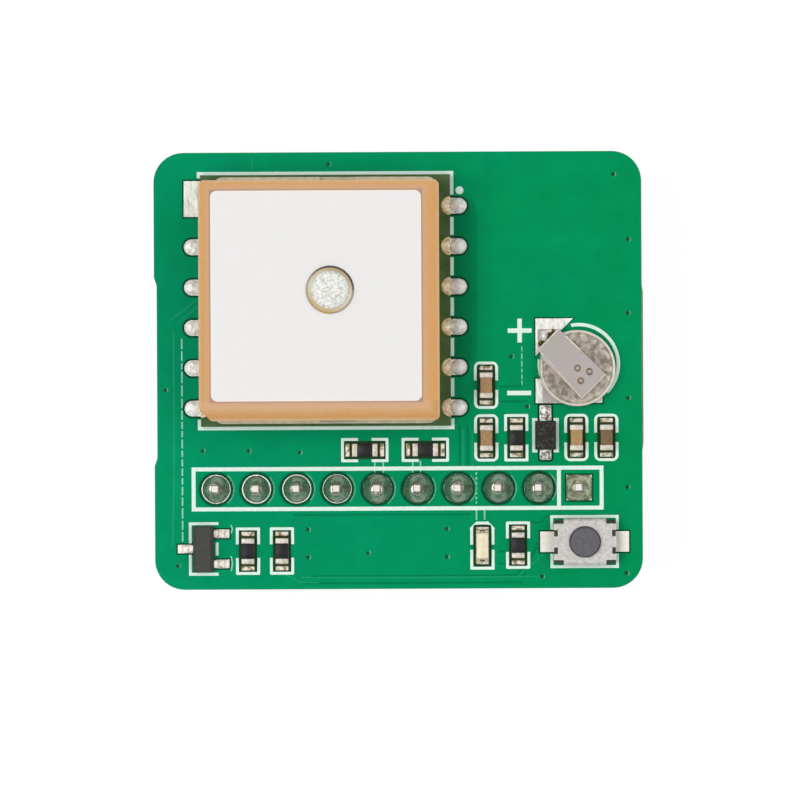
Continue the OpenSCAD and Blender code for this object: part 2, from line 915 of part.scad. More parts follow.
// Fired block with rounded corners and one larger bevel that marks its turn
module antenna_ceramic() {
    color("burlywood")
        difference() {
            translate([ceramic_pos.x, ceramic_pos.y, ceramic_z])
                linear_extrude(ceramic_t)
                    difference() {
                        rounded_rect(ceramic_w, ceramic_l, ceramic_corner_r);
                        translate([-ceramic_w / 2, -ceramic_l / 2])
                            rotate(45)
                                square(ceramic_chamfer * sqrt(2), center = true);
                    }
            feed_clearance(feed_hole_d);
        }
}

module antenna_patch() {
    color("white")
        difference() {
            translate([patch_pos.x, patch_pos.y, ceramic_top])
                linear_extrude(silver_t)
                    rounded_rect(patch_w, patch_l, patch_corner_r);
            feed_clearance(feed_hole_d);
        }
}

// Headed pin from the receiver board, through shield and ceramic, to the patch
module antenna_feed_pin() {
    color("goldenrod")
        translate([feed_pos.x, feed_pos.y, 0]) {
            translate([0, 0, receiver_top])
                cylinder(d = feed_d, h = feed_head_top - receiver_top);
            translate([0, 0, patch_top])
                cylinder(d = feed_head_d, h = feed_head_h);
        }
}

// Low solder cap on the feed pin's head
module antenna_feed_solder() {
    r = feed_head_d / 2 - feed_rim;
    shoulder = r - feed_solder_h;
    color("lightgray")
        translate([feed_pos.x, feed_pos.y, feed_head_top])
            rotate_extrude() {
                square([shoulder, feed_solder_h]);
                intersection() {
                    translate([shoulder, 0])
                        circle(r = feed_solder_h);
                    square([r, feed_solder_h]);
                }
            }
}

// Pin header

// Row of bevelled blocks, one for each pin, with a square hole through each
module header_body() {
    bevel = 0.45;
    x = pin_pitch / 2;
    y = header_w / 2;
    color("#202020")
        difference() {
            linear_extrude(header_h)
                at_pins()
                    polygon([
                        [-x, -y + bevel], [-x + bevel, -y], [x - bevel, -y], [x, -y + bevel],
                        [x, y - bevel], [x - bevel, y], [-x + bevel, y], [-x, y - bevel],
                    ]);
            at_pins()
                translate([0, 0, -past])
                    block(pin_w, pin_w, header_h + 2 * past);
        }
}

module pin() {
    top = board_top + pin_above;
    tip = pin_w / 2 - 0.1;
    module side() {
        rotate([90, 0, 0])
            linear_extrude(pin_w, center = true)
                polygon([
                    [-tip, -pin_below], [tip, -pin_below], [pin_w / 2, -pin_below + pin_bevel],
                    [pin_w / 2, top - pin_bevel], [tip, top], [-tip, top],
                    [-pin_w / 2, top - pin_bevel], [-pin_w / 2, -pin_below + pin_bevel],
                ]);
    }
    intersection() {
        side();
        rotate([0, 0, 90])
            side();
    }
}

module header_pins() {
    color("gold")
        at_pins()
            pin();
}

// Solder that fills the plated hole round the pin and climbs the pin in a hollow cone
module header_solder() {
    hole_r = header_hole_d / 2 - hole_plating - 2 * seat;
    base_r = header_pad_d / 2 - pad_rim;
    base_h = 0.06;
    neck_r = pin_reach + 0.03;
    steps = 8;
    color("darkgray")
        at_pins()
            difference() {
                rotate_extrude()
                    polygon(concat(
                        [[0, board_z], [hole_r, board_z], [hole_r, pad_top], [base_r, pad_top]],
                        [for (i = [0:steps])
                            let (a = 90 * i / steps)
                            [neck_r + (base_r - neck_r) * (1 - sin(a)),
                             pad_top + base_h + (joint_h - base_h) * (1 - cos(a))]],
                        [[0, pad_top + joint_h]]
                    ));
                translate([0, 0, board_z - past])
                    block(pin_w, pin_w, board_t + joint_h + 1);
            }
}

// Backup cell

module at_cell(z) {
    translate([cell_pos.x, cell_pos.y, z])
        children();
}

// Drawn case, open end down over the gasket, with a rounded shoulder and a shallow ring in its top
module cell_case() {
    r = cell_d / 2;
    ring_r = r - 0.36;
    ring_w = 0.07;
    ring_h = 0.05;
    pocket_r = cell_cap_d / 2 + gasket_w + seat;
    color("silver")
        at_cell(cell_z)
            difference() {
                rotate_extrude() {
                    translate([0, cell_rim_z])
                        square([r, cell_h - cell_rim_z - cell_edge_r]);
                    square([r - cell_edge_r, cell_h]);
                    translate([r - cell_edge_r, cell_h - cell_edge_r])
                        circle(r = cell_edge_r);
                }
                translate([0, 0, -past])
                    cylinder(r = pocket_r, h = cell_cap_h + past);
                rotate_extrude()
                    translate([ring_r, cell_h - ring_h])
                        square([ring_w, ring_h + past]);
            }
}

module cell_cap() {
    color("silver")
        at_cell(cell_z)
            cylinder(d = cell_cap_d, h = cell_cap_h);
}

module cell_gasket() {
    color("#303030")
        at_cell(cell_z + cell_rim_z)
            difference() {
                cylinder(r = cell_cap_d / 2 + gasket_w, h = cell_cap_h - cell_rim_z);
                translate([0, 0, -past])
                    cylinder(r = cell_cap_d / 2 + seat, h = cell_cap_h + 2 * past);
            }
}

// Welded strip on the cell, folded down past its side to a pointed foot on the plus pad
module cell_top_tab() {
    low = tab_shift - tab_w / 2;
    high = tab_shift + tab_w / 2;
    neck = tab_neck_w / 2;
    weld_d = 0.38;
    weld_depth = 0.03;
    color("silver")
        at_cell(0)
            rotate([0, 0, 135])
                difference() {
                    union() {
                        translate([0, 0, cell_top])
                            linear_extrude(tab_t)
                                polygon([
                                    [-tab_end, low], [tab_shoulder, low], [tab_fold, -neck],
                                    [tab_fold + tab_t, -neck], [tab_fold + tab_t, neck], [tab_fold, neck],
                                    [tab_shoulder, high], [-tab_end, high],
                                ]);
                        translate([tab_fold, -neck, pad_top])
                            cube([tab_t, 2 * neck, cell_top - pad_top]);
                        translate([tab_fold + tab_t, 0, pad_top])
                            linear_extrude(tab_t)
                                polygon([[0, -neck], [neck, 0], [0, neck]]);
                    }
                    for (spot = [[0, 0], [-0.74, -0.35], [-0.74, 0.44]])
                        translate([spot.x, spot.y, cell_top + tab_t - weld_depth])
                            cylinder(d = weld_d, h = weld_depth + past);
                }
}

module cell_bottom_tab() {
    w = cell_d - 1.4;
    l = 2.1;
    color("silver")
        translate([cell_pos.x - cell_d / 2 + 0.22, cell_pos.y - cell_d / 2 + 0.24, pad_top])
            cube([w, l, tab_t]);
}

// Push button

module at_button(z) {
    translate([button_pos.x, button_pos.y, z])
        children();
}

// Moulded base with a round well for the dome and a slot for each terminal
module button_base() {
    y = button_l / 2 - cover_t;
    bevel = cover_bend_r - cover_t + seat;
    color("#3a3a3a")
        at_button(pad_top)
            difference() {
                rotate([90, 0, 90])
                    linear_extrude(button_w - 0.1, center = true)
                        polygon([
                            [-y, 0], [y, 0], [y, button_h - bevel], [y - bevel, button_h],
                            [-y + bevel, button_h], [-y, button_h - bevel],
                        ]);
                translate([0, 0, well_floor])
                    cylinder(d = well_d, h = button_h);
                for (s = [-1, 1])
                    translate([s * button_w / 2, 0, -past])
                        block(1, terminal_w, terminal_t + past);
            }
}

// Flat plated strips that leave the base at its foot
module button_terminals() {
    inside = button_w / 2 - 0.5;
    color("whitesmoke")
        at_button(pad_top)
            for (s = [-1, 1])
                translate([s * (inside + button_span / 2) / 2, 0, 0])
                    block(button_span / 2 - inside, terminal_w, terminal_t);
}

// Thin snap dome that returns the plunger
module button_dome() {
    r = dome_d / 2;
    arc_r = (r * r + dome_h * dome_h) / (2 * dome_h);
    color("silver")
        at_button(pad_top + well_floor)
            rotate_extrude()
                intersection() {
                    translate([0, dome_h - arc_r])
                        difference() {
                            circle(r = arc_r, $fn = 180);
                            circle(r = arc_r - dome_t, $fn = 180);
                        }
                    square([r, dome_h]);
                }
}

// Flanged plunger held under the cover
module button_plunger() {
    edge_r = 0.12;
    stem_r = plunger_d / 2;
    stem_h = button_h - flange_z + cover_t + plunger_h;
    color("#6a6a6c")
        at_button(pad_top + flange_z)
            rotate_extrude() {
                square([flange_d / 2, flange_h]);
                square([stem_r, stem_h - edge_r]);
                square([stem_r - edge_r, stem_h]);
                translate([stem_r - edge_r, stem_h - edge_r])
                    circle(r = edge_r);
            }
}

// Pressed cover: plate with notched corners and a cut for each terminal, and a skirt bent down over the
// front and back of the base
module button_cover() {
    bend_r = cover_bend_r;
    skirt_w = 2.68;
    skirt_h = button_h - 0.3;
    plate_l = button_l - 0.66;
    cut_w = 0.26;
    cut_l = terminal_w + 0.2;
    tongue_w = 0.7;
    tongue_out = 0.14;
    module skirt_section() {
        translate([button_l / 2 - bend_r, cover_t - bend_r])
            intersection() {
                difference() {
                    circle(r = bend_r);
                    circle(r = bend_r - cover_t);
                }
                square(bend_r);
            }
        translate([button_l / 2 - cover_t, -skirt_h])
            square([cover_t, skirt_h + cover_t - bend_r]);
    }
    color("gainsboro")
        at_button(pad_top + button_h)
            difference() {
                union() {
                    linear_extrude(cover_t)
                        difference() {
                            union() {
                                square([button_w, plate_l], center = true);
                                square([skirt_w, button_l - 2 * bend_r], center = true);
                            }
                            for (s = [-1, 1])
                                translate([s * button_w / 2, 0])
                                    difference() {
                                        square([2 * cut_w, cut_l], center = true);
                                        translate([-s * (cut_w - tongue_out), 0])
                                            square([2 * tongue_out, tongue_w], center = true);
                                    }
                        }
                    for (turn = [0, 180])
                        rotate([0, 0, turn])
                            rotate([90, 0, 90])
                                linear_extrude(skirt_w, center = true)
                                    skirt_section();
                }
                translate([0, 0, -past])
                    cylinder(d = plunger_d + 2 * running, h = cover_t + 2 * past);
            }
}

// Indicator lamp

module at_lamp(z) {
    translate([lamp_pos.x, lamp_pos.y, z])
        children();
}

// Ceramic strip between the two wrapped ends
module lamp_base() {
    color("ivory")
        at_lamp(pad_top)
            difference() {
                block(lamp_w, lamp_l, lamp_base_h);
                lamp_ends();
            }
}

// Wrapped ends with a half-round notch in each end face
module lamp_ends() {
    for (s = [-1, 1])
        translate([0, s * (lamp_l - lamp_cap_l) / 2, 0])
            block(lamp_w, lamp_cap_l, lamp_base_h);
}

module lamp_terminals() {
    notch_r = 0.15;
    color("gold")
        at_lamp(pad_top)
            difference() {
                lamp_ends();
                for (s = [-1, 1])
                    translate([0, s * lamp_l / 2, -past])
                        cylinder(r = notch_r, h = lamp_base_h + 2 * past);
            }
}

module lamp_die() {
    color("olivedrab")
        at_lamp(pad_top + lamp_base_h)
            block(die_w, die_w, die_h);
}

// Cast resin lens over the die
module lamp_lens() {
    lens_l = lamp_l - 2 * lamp_lens_inset;
    color("lemonchiffon")
        at_lamp(pad_top + lamp_base_h)
            difference() {
                moulded_block(lamp_w, lens_l, lamp_lens_h, 0, moulding_slope, moulding_slope);
                translate([0, 0, -past])
                    block(die_w, die_w, die_h + past);
            }
}

// Diode and transistor

// Bent leads whose roots are moulded into the body
module diode_leads() {
    color("silver")
        translate([diode_pos.x, diode_pos.y, pad_top])
            for (turn = [90, -90])
                rotate([0, 0, turn])
                    gull_lead(diode_l / 2 - 0.15, part_line, diode_l / 2 + 0.04, diode_reach,
                              lead_t, lead_w + 0.1);
}

module diode_body() {
    color("#262626")
        difference() {
            translate([diode_pos.x, diode_pos.y, pad_top + standoff])
                moulded_block(diode_w, diode_l, diode_h, part_line, 1.5 * moulding_slope, moulding_slope);
            diode_leads();
        }
}

module transistor_leads() {
    color("silver")
        translate([transistor_pos.x, transistor_pos.y, pad_top])
            for (lead = [[180, 0], [0, transistor_pitch], [0, -transistor_pitch]])
                translate([0, lead[1], 0])
                    rotate([0, 0, lead[0]])
                        gull_lead(transistor_w / 2 - 0.2, part_line, transistor_w / 2 + 0.12, lead_span / 2,
                                  lead_t, lead_w);
}

module transistor_body() {
    color("#2c2c2c")
        difference() {
            translate([transistor_pos.x, transistor_pos.y, pad_top + standoff])
                moulded_block(transistor_w, transistor_l, transistor_h, part_line,
                              shoulder_slope, moulding_slope);
            transistor_leads();
        }
}

// Chip resistors and capacitors, lying along Y before their turn

module resistor_core() {
    translate([0, 0, cap_t])
        block(chip_w, chip_l - 2 * cap_t, resistor_h - 2 * cap_t);
}

// Ceramic strip with a dark glaze on top between the end caps
module resistor_body(i) {
    color("#2a2a2a")
        at_chip(RESISTORS[i - 1]) {
            resistor_core();
            translate([0, 0, resistor_h - cap_t])
                block(chip_w - 0.06, chip_l - 2 * end_cap_l, cap_t);
        }
}

module resistor_caps(i) {
    color("gainsboro")
        at_chip(RESISTORS[i - 1])
            difference() {
                for (s = [-1, 1])
                    translate([0, s * (chip_l - end_cap_l) / 2, 0])
                        block(chip_w, end_cap_l, resistor_h);
                resistor_core();
            }
}

module capacitor_core() {
    translate([0, 0, cap_t])
        block(chip_w - 2 * cap_t, chip_l - 2 * cap_t, capacitor_h - 2 * cap_t);
}

module capacitor_body(i) {
    color("peru")
        at_chip(CAPACITORS[i - 1])
            capacitor_core();
}

module capacitor_caps(i) {
    color("gainsboro")
        at_chip(CAPACITORS[i - 1])
            difference() {
                for (s = [-1, 1])
                    translate([0, s * (chip_l - end_cap_l) / 2, 0])
                        block(chip_w, end_cap_l, capacitor_h);
                capacitor_core();
            }
}

// Hollow fillets at both ends of a part that lies along Y
module end_fillets(l, run, rise, w) {
    for (turn = [90, -90])
        rotate([0, 0, turn])
            translate([l / 2, 0, 0])
                fillet(run, rise, w);
}

module chip_solder() {
    run = pad_out - 0.03;
    wetted_w = chip_w + 2 * pad_side - 0.06;
    color("lightgray") {
        for (part = RESISTORS)
            at_chip(part)
                end_fillets(chip_l, run, resistor_h * 0.75, wetted_w);
        for (part = CAPACITORS)
            at_chip(part)
                end_fillets(chip_l, run, capacitor_h * 0.6, wetted_w);
        at_lamp(pad_top)
            end_fillets(lamp_l, lamp_pad_out - 0.03, lamp_base_h, lamp_w);
        translate([diode_pos.x, diode_pos.y, pad_top])
            for (p = [[90, diode_back], [-90, diode_front]])
                rotate([0, 0, p[0]])
                    translate([diode_reach, 0, 0])
                        fillet(p[1] - diode_reach - 0.03, lead_t, diode_pad_w - 0.06);
        translate([transistor_pos.x, transistor_pos.y, pad_top])
            for (lead = [[180, 0], [0, transistor_pitch], [0, -transistor_pitch]])
                translate([0, lead[1], 0])
                    rotate([0, 0, lead[0]])
                        translate([lead_span / 2, 0, 0])
                            fillet(lead_out - 0.03, lead_t + 0.03, lead_w);
    }
}

// Drawing

board();
board_pads();
board_print();
receiver_board();
receiver_edge_plating();
receiver_solder();
receiver_shield();
receiver_chip();
band_filter();
reference_oscillator();
clock_crystal();
low_noise_amplifier();
antenna_tape();
antenna_ground_plane();
antenna_ceramic();
antenna_patch();
antenna_feed_pin();
antenna_feed_solder();
header_body();
header_pins();
header_solder();
cell_case();
cell_cap();
cell_gasket();
cell_top_tab();
cell_bottom_tab();
button_base();
button_terminals();
button_dome();
button_plunger();
button_cover();
lamp_base();
lamp_terminals();
lamp_die();
lamp_lens();
diode_body();
diode_leads();
transistor_body();
transistor_leads();
for (i = [1:len(RESISTORS)]) {
    resistor_body(i);
    resistor_caps(i);
}
for (i = [1:len(CAPACITORS)]) {
    capacitor_body(i);
    capacitor_caps(i);
}
chip_solder();
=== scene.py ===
"""Satellite positioning receiver on a carrier board, dressed around its CAD frame."""

import math
import random

import bpy
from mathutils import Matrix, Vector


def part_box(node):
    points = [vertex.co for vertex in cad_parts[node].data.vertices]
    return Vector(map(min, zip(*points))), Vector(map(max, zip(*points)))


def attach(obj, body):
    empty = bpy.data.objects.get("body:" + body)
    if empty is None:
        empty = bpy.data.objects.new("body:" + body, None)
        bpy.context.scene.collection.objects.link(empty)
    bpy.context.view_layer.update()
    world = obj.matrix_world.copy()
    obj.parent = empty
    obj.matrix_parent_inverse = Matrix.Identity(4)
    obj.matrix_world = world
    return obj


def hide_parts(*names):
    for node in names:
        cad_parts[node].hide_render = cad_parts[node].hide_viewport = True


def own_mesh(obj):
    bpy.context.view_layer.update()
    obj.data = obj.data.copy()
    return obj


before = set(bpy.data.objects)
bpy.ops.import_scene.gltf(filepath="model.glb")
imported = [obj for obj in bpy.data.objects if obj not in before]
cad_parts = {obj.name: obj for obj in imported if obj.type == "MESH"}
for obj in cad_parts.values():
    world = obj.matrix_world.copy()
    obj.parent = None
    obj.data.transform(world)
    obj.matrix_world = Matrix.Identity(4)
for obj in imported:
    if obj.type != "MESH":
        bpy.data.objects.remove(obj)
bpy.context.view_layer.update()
scene = bpy.context.scene

# Camera: straight above the board, about half a metre away, as the photograph was taken.
# The long lens shows almost no side walls, and the board lies a quarter of a degree askew.
MM = 0.001
BOARD_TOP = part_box("board")[1].z / MM
VIEW_CENTRE = (0.176, 5.573)
VIEW_HEIGHT = 550
VIEW_WIDTH = 50.38
SENSOR_WIDTH = 36
ASKEW = -0.27
camera_data = bpy.data.cameras.new("camera")
camera_data.sensor_width = SENSOR_WIDTH
camera_data.lens = SENSOR_WIDTH * VIEW_HEIGHT / VIEW_WIDTH
camera_data.clip_start = 10 * MM
camera = bpy.data.objects.new("camera", camera_data)
camera.location = (VIEW_CENTRE[0] * MM, VIEW_CENTRE[1] * MM, (BOARD_TOP + VIEW_HEIGHT) * MM)
camera.rotation_euler = (0, 0, math.radians(ASKEW))
scene.collection.objects.link(camera)
scene.camera = camera
scene.view_settings.view_transform = "Standard"


# Floor: matt white paper sweep on which the module stands with its pin tips.
# To the camera and in reflections most of its white is its own, and the rest takes the shadow.
def srgb(code):
    """Linear colour of an sRGB hex value."""
    channels = [int(code[i:i + 2], 16) / 255 for i in (1, 3, 5)]
    return tuple(c / 12.92 if c <= 0.04045 else ((c + 0.055) / 1.055) ** 2.4 for c in channels) + (1.0,)


def add(tree, kind, links=None, **settings):
    """A new shader node; links gives its inputs, each a value or another node's output."""
    made = tree.nodes.new("ShaderNode" + kind)
    for name, value in settings.items():
        setattr(made, name, value)
    for name, value in (links or {}).items():
        if isinstance(value, bpy.types.NodeSocket):
            tree.links.new(value, made.inputs[name])
        else:
            made.inputs[name].default_value = value
    return made


def blank(name):
    """A new material with an empty node tree."""
    made = bpy.data.materials.new(name)
    made.use_nodes = True
    made.node_tree.nodes.clear()
    return made, made.node_tree


FLOOR_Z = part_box("header_pins")[0].z
FLOOR_SIZE = 4
PAPER_WHITE = 0.86
SHADOWED_WHITE = 0.12
OWN_WHITE = 0.92
bpy.ops.object.select_all(action="DESELECT")
bpy.ops.mesh.primitive_plane_add(size=FLOOR_SIZE, location=(0, 0, FLOOR_Z))
floor = bpy.context.object
floor.name = "paper_sweep"
bpy.ops.object.transform_apply()
paper, tree = blank("matt_paper")
path = add(tree, "LightPath").outputs
seen = add(tree, "Math", {0: path["Is Camera Ray"], 1: path["Is Glossy Ray"]}, operation="MAXIMUM")
seen = add(tree, "Math", {0: seen.outputs[0], 1: path["Is Transmission Ray"]}, operation="MAXIMUM")
lit = add(tree, "BsdfDiffuse", {"Color": (PAPER_WHITE, PAPER_WHITE, PAPER_WHITE, 1)})
faint = add(tree, "BsdfDiffuse", {"Color": (SHADOWED_WHITE, SHADOWED_WHITE, SHADOWED_WHITE, 1)})
glow = add(tree, "Emission", {"Color": (1, 1, 1, 1), "Strength": OWN_WHITE})
white = add(tree, "AddShader", {0: faint.outputs[0], 1: glow.outputs[0]})
both = add(tree, "MixShader", {0: seen.outputs[0], 1: lit.outputs[0], 2: white.outputs[0]})
add(tree, "OutputMaterial", {"Surface": both.outputs[0]})
floor.data.materials.append(paper)


# Light: two soft panels high up beside the camera, the left one small and strong, the right one wide.
# The space round the camera is dark, so flat varnish stays saturated and only slopes catch the light.
def stops(ramp, tones):
    """Sets a colour ramp from pairs of a position and a colour, given in hex or as a level of grey."""
    while len(ramp.elements) < len(tones):
        ramp.elements.new(0.5)
    for stop, (position, colour) in zip(ramp.elements, tones):
        stop.position = position
        stop.color = srgb(colour) if isinstance(colour, str) else (colour, colour, colour, 1)


SOFT_BOXES = [
    ("left", (-280, 10, 750), (420, 280), 2.7),
    ("right", (330, 20, 740), (620, 460), 1.85),
]
for side, place, size, power in SOFT_BOXES:
    lamp_data = bpy.data.lights.new("soft_box_" + side, "AREA")
    lamp_data.shape = "RECTANGLE"
    lamp_data.size = size[0] * MM
    lamp_data.size_y = size[1] * MM
    lamp_data.energy = power
    lamp = bpy.data.objects.new("soft_box_" + side, lamp_data)
    lamp.location = [p * MM for p in place]
    lamp.rotation_euler = (-lamp.location).to_track_quat("-Z", "Y").to_euler()
    scene.collection.objects.link(lamp)
world = bpy.data.worlds.new("studio")
scene.world = world
world.use_nodes = True
tree = world.node_tree
tree.nodes.clear()
direction = add(tree, "TexCoord")
height = add(tree, "SeparateXYZ", {0: direction.outputs["Generated"]})
sky = add(tree, "ValToRGB", {0: height.outputs["Z"]})
stops(sky.color_ramp, [(0.0, 1.0), (0.3, 0.8), (0.55, 0.4), (0.9, 0.2), (0.985, 0.05)])
air = add(tree, "Background", {"Color": sky.outputs[0], "Strength": 1.0})
add(tree, "OutputWorld", {"Surface": air.outputs[0]})


# Carrier board: 1.6 mm glass fibre laminate, routed to shape, with green solder mask on both faces.
# The mask is a glossy varnish, levelled by its own flow, and the cut edge shows the bare brown laminate.
# A snapped-off bridge to the next board of the sheet has left a sliver of laminate on the right edge.
MERGED = 2e-7
CUT_NEAR = 1e-7
LEVEL = 0.4
SHARP = 30
MOTTLE = 6
FLOW = 1.6
PEEL = 0.7
FIBRE = 1.4
FIBRE_LAYERS = 14
BRIDGE_X = 15.42


def alone(piece):
    """Makes one piece the only one that is selected, and the active one."""
    bpy.ops.object.select_all(action="DESELECT")
    piece.select_set(True)
    bpy.context.view_layer.objects.active = piece


def merged(node, name):
    """Copy of a CAD node with its loose triangles merged and no finish, left open in edit mode."""
    piece = bpy.data.objects.new(name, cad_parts[node].data.copy())
    scene.collection.objects.link(piece)
    alone(piece)
    piece.data.materials.clear()
    bpy.ops.mesh.customdata_custom_splitnormals_clear()
    bpy.ops.object.mode_set(mode="EDIT")
    bpy.ops.mesh.select_all(action="SELECT")
    bpy.ops.mesh.remove_doubles(threshold=MERGED)
    return piece


def cut(piece, place, normal, **cleared):
    """Cuts a piece along a plane through a place in mm; with a side cleared, the cut is closed."""
    alone(piece)
    bpy.ops.object.mode_set(mode="EDIT")
    bpy.ops.mesh.select_all(action="SELECT")
    bpy.ops.mesh.bisect(plane_co=[p * MM for p in place], plane_no=normal, use_fill=bool(cleared),
                        threshold=CUT_NEAR, **cleared)
    bpy.ops.object.mode_set(mode="OBJECT")


def dressed(node, name, slot, edge, *finishes, steps=2, body="module"):
    """Copy of a CAD node with joined faces and edges rounded by edge mm, which stands for the node."""
    piece = merged(node, name)
    bpy.ops.mesh.dissolve_limited(angle_limit=math.radians(LEVEL))
    bpy.ops.object.mode_set(mode="OBJECT")
    if edge:
        bevel = piece.modifiers.new("edge", "BEVEL")
        bevel.width = edge * MM
        bevel.segments = steps
        bevel.limit_method = "ANGLE"
        bevel.angle_limit = math.radians(SHARP)
        bpy.ops.object.modifier_apply(modifier="edge")
    smooth(piece, SHARP)
    for finish in finishes:
        piece.data.materials.append(finish)
    return fitted(piece, slot, body, node)


def smooth(piece, angle):
    """Smooth shading up to an angle, with the large faces kept flat."""
    alone(piece)
    bpy.ops.object.shade_smooth_by_angle(angle=math.radians(angle))
    flat = piece.modifiers.new("flat", "WEIGHTED_NORMAL")
    flat.keep_sharp = True
    bpy.ops.object.modifier_apply(modifier="flat")


def fitted(piece, slot, body="module", *nodes):
    """Puts a finished piece on its body and hides the CAD nodes that it stands for; the slot is not used.
    """
    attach(piece, body)
    if nodes:
        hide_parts(*nodes)
    return piece


def varnish(name, left, right, roughness):
    """Solder mask: clear green varnish over copper, a little mottled, with a faint orange peel."""
    made, tree = blank(name)
    place = add(tree, "TexCoord").outputs["Object"]
    cloud = add(tree, "TexNoise", {"Vector": place, "Scale": 1 / (MOTTLE * MM), "Detail": 5,
                                   "Roughness": 0.65})
    sides = add(tree, "SeparateXYZ", {0: place})
    drift = add(tree, "MapRange", {"Value": sides.outputs["X"], "From Min": -16 * MM, "From Max": 16 * MM,
                                   "To Min": -0.25, "To Max": 0.25})
    mottle = add(tree, "Math", {0: cloud.outputs["Fac"], 1: drift.outputs[0]}, operation="ADD")
    tone = add(tree, "ValToRGB", {0: mottle.outputs[0]})
    stops(tone.color_ramp, [(0.15, left), (0.85, right)])
    flow = add(tree, "TexNoise", {"Vector": place, "Scale": 1 / (FLOW * MM), "Detail": 4,
                                  "Roughness": 0.6})
    shade = add(tree, "ValToRGB", {0: flow.outputs["Fac"]})
    stops(shade.color_ramp, [(0.3, 0.84), (0.7, 1.0)])
    flowed = add(tree, "MixRGB", {"Fac": 0.7, "Color1": tone.outputs[0], "Color2": shade.outputs[0]},
                 blend_type="MULTIPLY")
    peel = add(tree, "TexNoise", {"Vector": place, "Scale": 1 / (PEEL * MM), "Detail": 2})
    bump = add(tree, "Bump", {"Height": peel.outputs["Fac"], "Strength": 0.06, "Distance": 0.02 * MM})
    skin = add(tree, "BsdfPrincipled", {"Base Color": flowed.outputs[0], "Roughness": roughness,
                                        "Specular IOR Level": 0.35, "Normal": bump.outputs[0]})
    add(tree, "OutputMaterial", {"Surface": skin.outputs[0]})
    return made


mask = varnish("green_solder_mask", "#029f70", "#01985b", 0.08)
laminate, tree = blank("routed_glass_fibre_laminate")
place = add(tree, "TexCoord").outputs["Object"]
layers = add(tree, "Mapping", {"Vector": place, "Scale": (1, 1, FIBRE_LAYERS)})
fibre = add(tree, "TexNoise", {"Vector": layers.outputs[0], "Scale": 1 / (FIBRE * MM), "Detail": 6,
                               "Roughness": 0.7})
tone = add(tree, "ValToRGB", {0: fibre.outputs["Fac"]})
stops(tone.color_ramp, [(0.3, "#5d5a3c"), (0.7, "#a48c62")])
bump = add(tree, "Bump", {"Height": fibre.outputs["Fac"], "Strength": 0.5, "Distance": 0.05 * MM})
skin = add(tree, "BsdfPrincipled", {"Base Color": tone.outputs[0], "Roughness": 0.75, "IOR": 1.5,
                                    "Normal": bump.outputs[0]})
add(tree, "OutputMaterial", {"Surface": skin.outputs[0]})
board = dressed("board", "carrier_board", "solder_mask", 0.03, mask, laminate)
cut(board, (BRIDGE_X, 0, 0), (1, 0, 0))
bpy.ops.mesh.customdata_custom_splitnormals_clear()
smooth(board, SHARP)
for face in board.data.polygons:
    face.material_index = 0 if abs(face.normal.z) > 0.6 and face.center.x < BRIDGE_X * MM else 1


# Copper under the mask: tracks stand up as low roofs in the varnish, and gaps in the copper look darker.
# Round each pin the copper keeps clear, and the left slope of its far edge shows as a thin mint line.
# On a few tracks a pale mint glint is painted on low ridges, in dashes or along the whole edge.
ROOF = 8


def finished(piece, material, angle, slot, *nodes):
    """Gives a new piece its material, smooth shading up to an angle, and its place on the module."""
    piece.data.materials.append(material)
    smooth(piece, angle)
    return fitted(piece, slot, "module", *nodes)


def ridges(name, lines, width, rise, material, slot="solder_mask", height=BOARD_TOP):
    """Low roof-shaped ridges of one width along lines at one height, in mm."""
    curve = bpy.data.curves.new(name, "CURVE")
    curve.dimensions = "3D"
    curve.bevel_depth = width / 2 * MM
    curve.bevel_resolution = 0
    curve.use_fill_caps = True
    for line in lines:
        spline = curve.splines.new("POLY")
        spline.points.add(len(line) - 1)
        for point, (x, y) in zip(spline.points, line):
            point.co = (x * MM, y * MM, 0, 1)
    piece = bpy.data.objects.new(name, curve)
    scene.collection.objects.link(piece)
    alone(piece)
    bpy.ops.object.convert(target="MESH")
    piece = bpy.context.object
    piece.scale = (1, 1, rise / (width / 2))
    piece.location = (0, 0, height * MM)
    bpy.ops.object.transform_apply()
    return finished(piece, material, ROOF, slot)


def arc(centre, radius, start, end, steps=12):
    """Points of an arc, in mm, from one angle to another in degrees."""
    turn = [math.radians(start + (end - start) * i / steps) for i in range(steps + 1)]
    return [(centre[0] + radius * math.cos(a), centre[1] + radius * math.sin(a)) for a in turn]


random.seed(11)
PIN_PITCH = 2.54
PIN_ROW = [(i - 4.5) * PIN_PITCH for i in range(10)]
ROUND_PADS = PIN_ROW[:9]
TRACKS = [
    [(-14.06, 9.98), (-14.06, 1.42), (-14.18, -3.56)],
    [(-12.42, 12.06), (-14.18, 10.74)],
    [(-12.04, 11.93), (-13.8, 10.48)],
    [(4.14, 3.68), (4.14, 1.35)],
    [(4.71, 3.68), (4.71, 1.35)],
    [(-6.12, -5.57), (1.44, -5.6), (8.99, -5.57)],
    [(-7.19, -5.32), (-6.12, -5.89), (-4.99, -5.92)],
    [(7.73, -5.45), (9.31, -4.06)],
    [(7.86, 8.97), (7.86, 6.58)],
    [(-9.08, 20.81), (-9.08, 20.12)],
]
pale_mask = varnish("thin_solder_mask", "#1ba87b", "#17a06c", 0.12)
ridges("track_ridges", TRACKS, width=0.1, rise=0.003, material=pale_mask)
GLINT_LINES = [
    [(4.96, -1.2), (4.96, -2.0)],
    [(5.47, -1.25), (5.47, -2.0)],
    [(-1.43, 1.75), (-1.43, 1.0)],
    [(-0.9, 1.75), (-0.9, 1.0)],
    [(0.96, 1.75), (0.96, 1.0)],
    [(1.44, 1.75), (1.44, 1.0)],
    [(-10.5, -2.25), (-10.42, -2.5), (-10.5, -2.78)],
    [(-10.5, -4.2), (-10.42, -4.65), (-10.5, -5.15)],
]
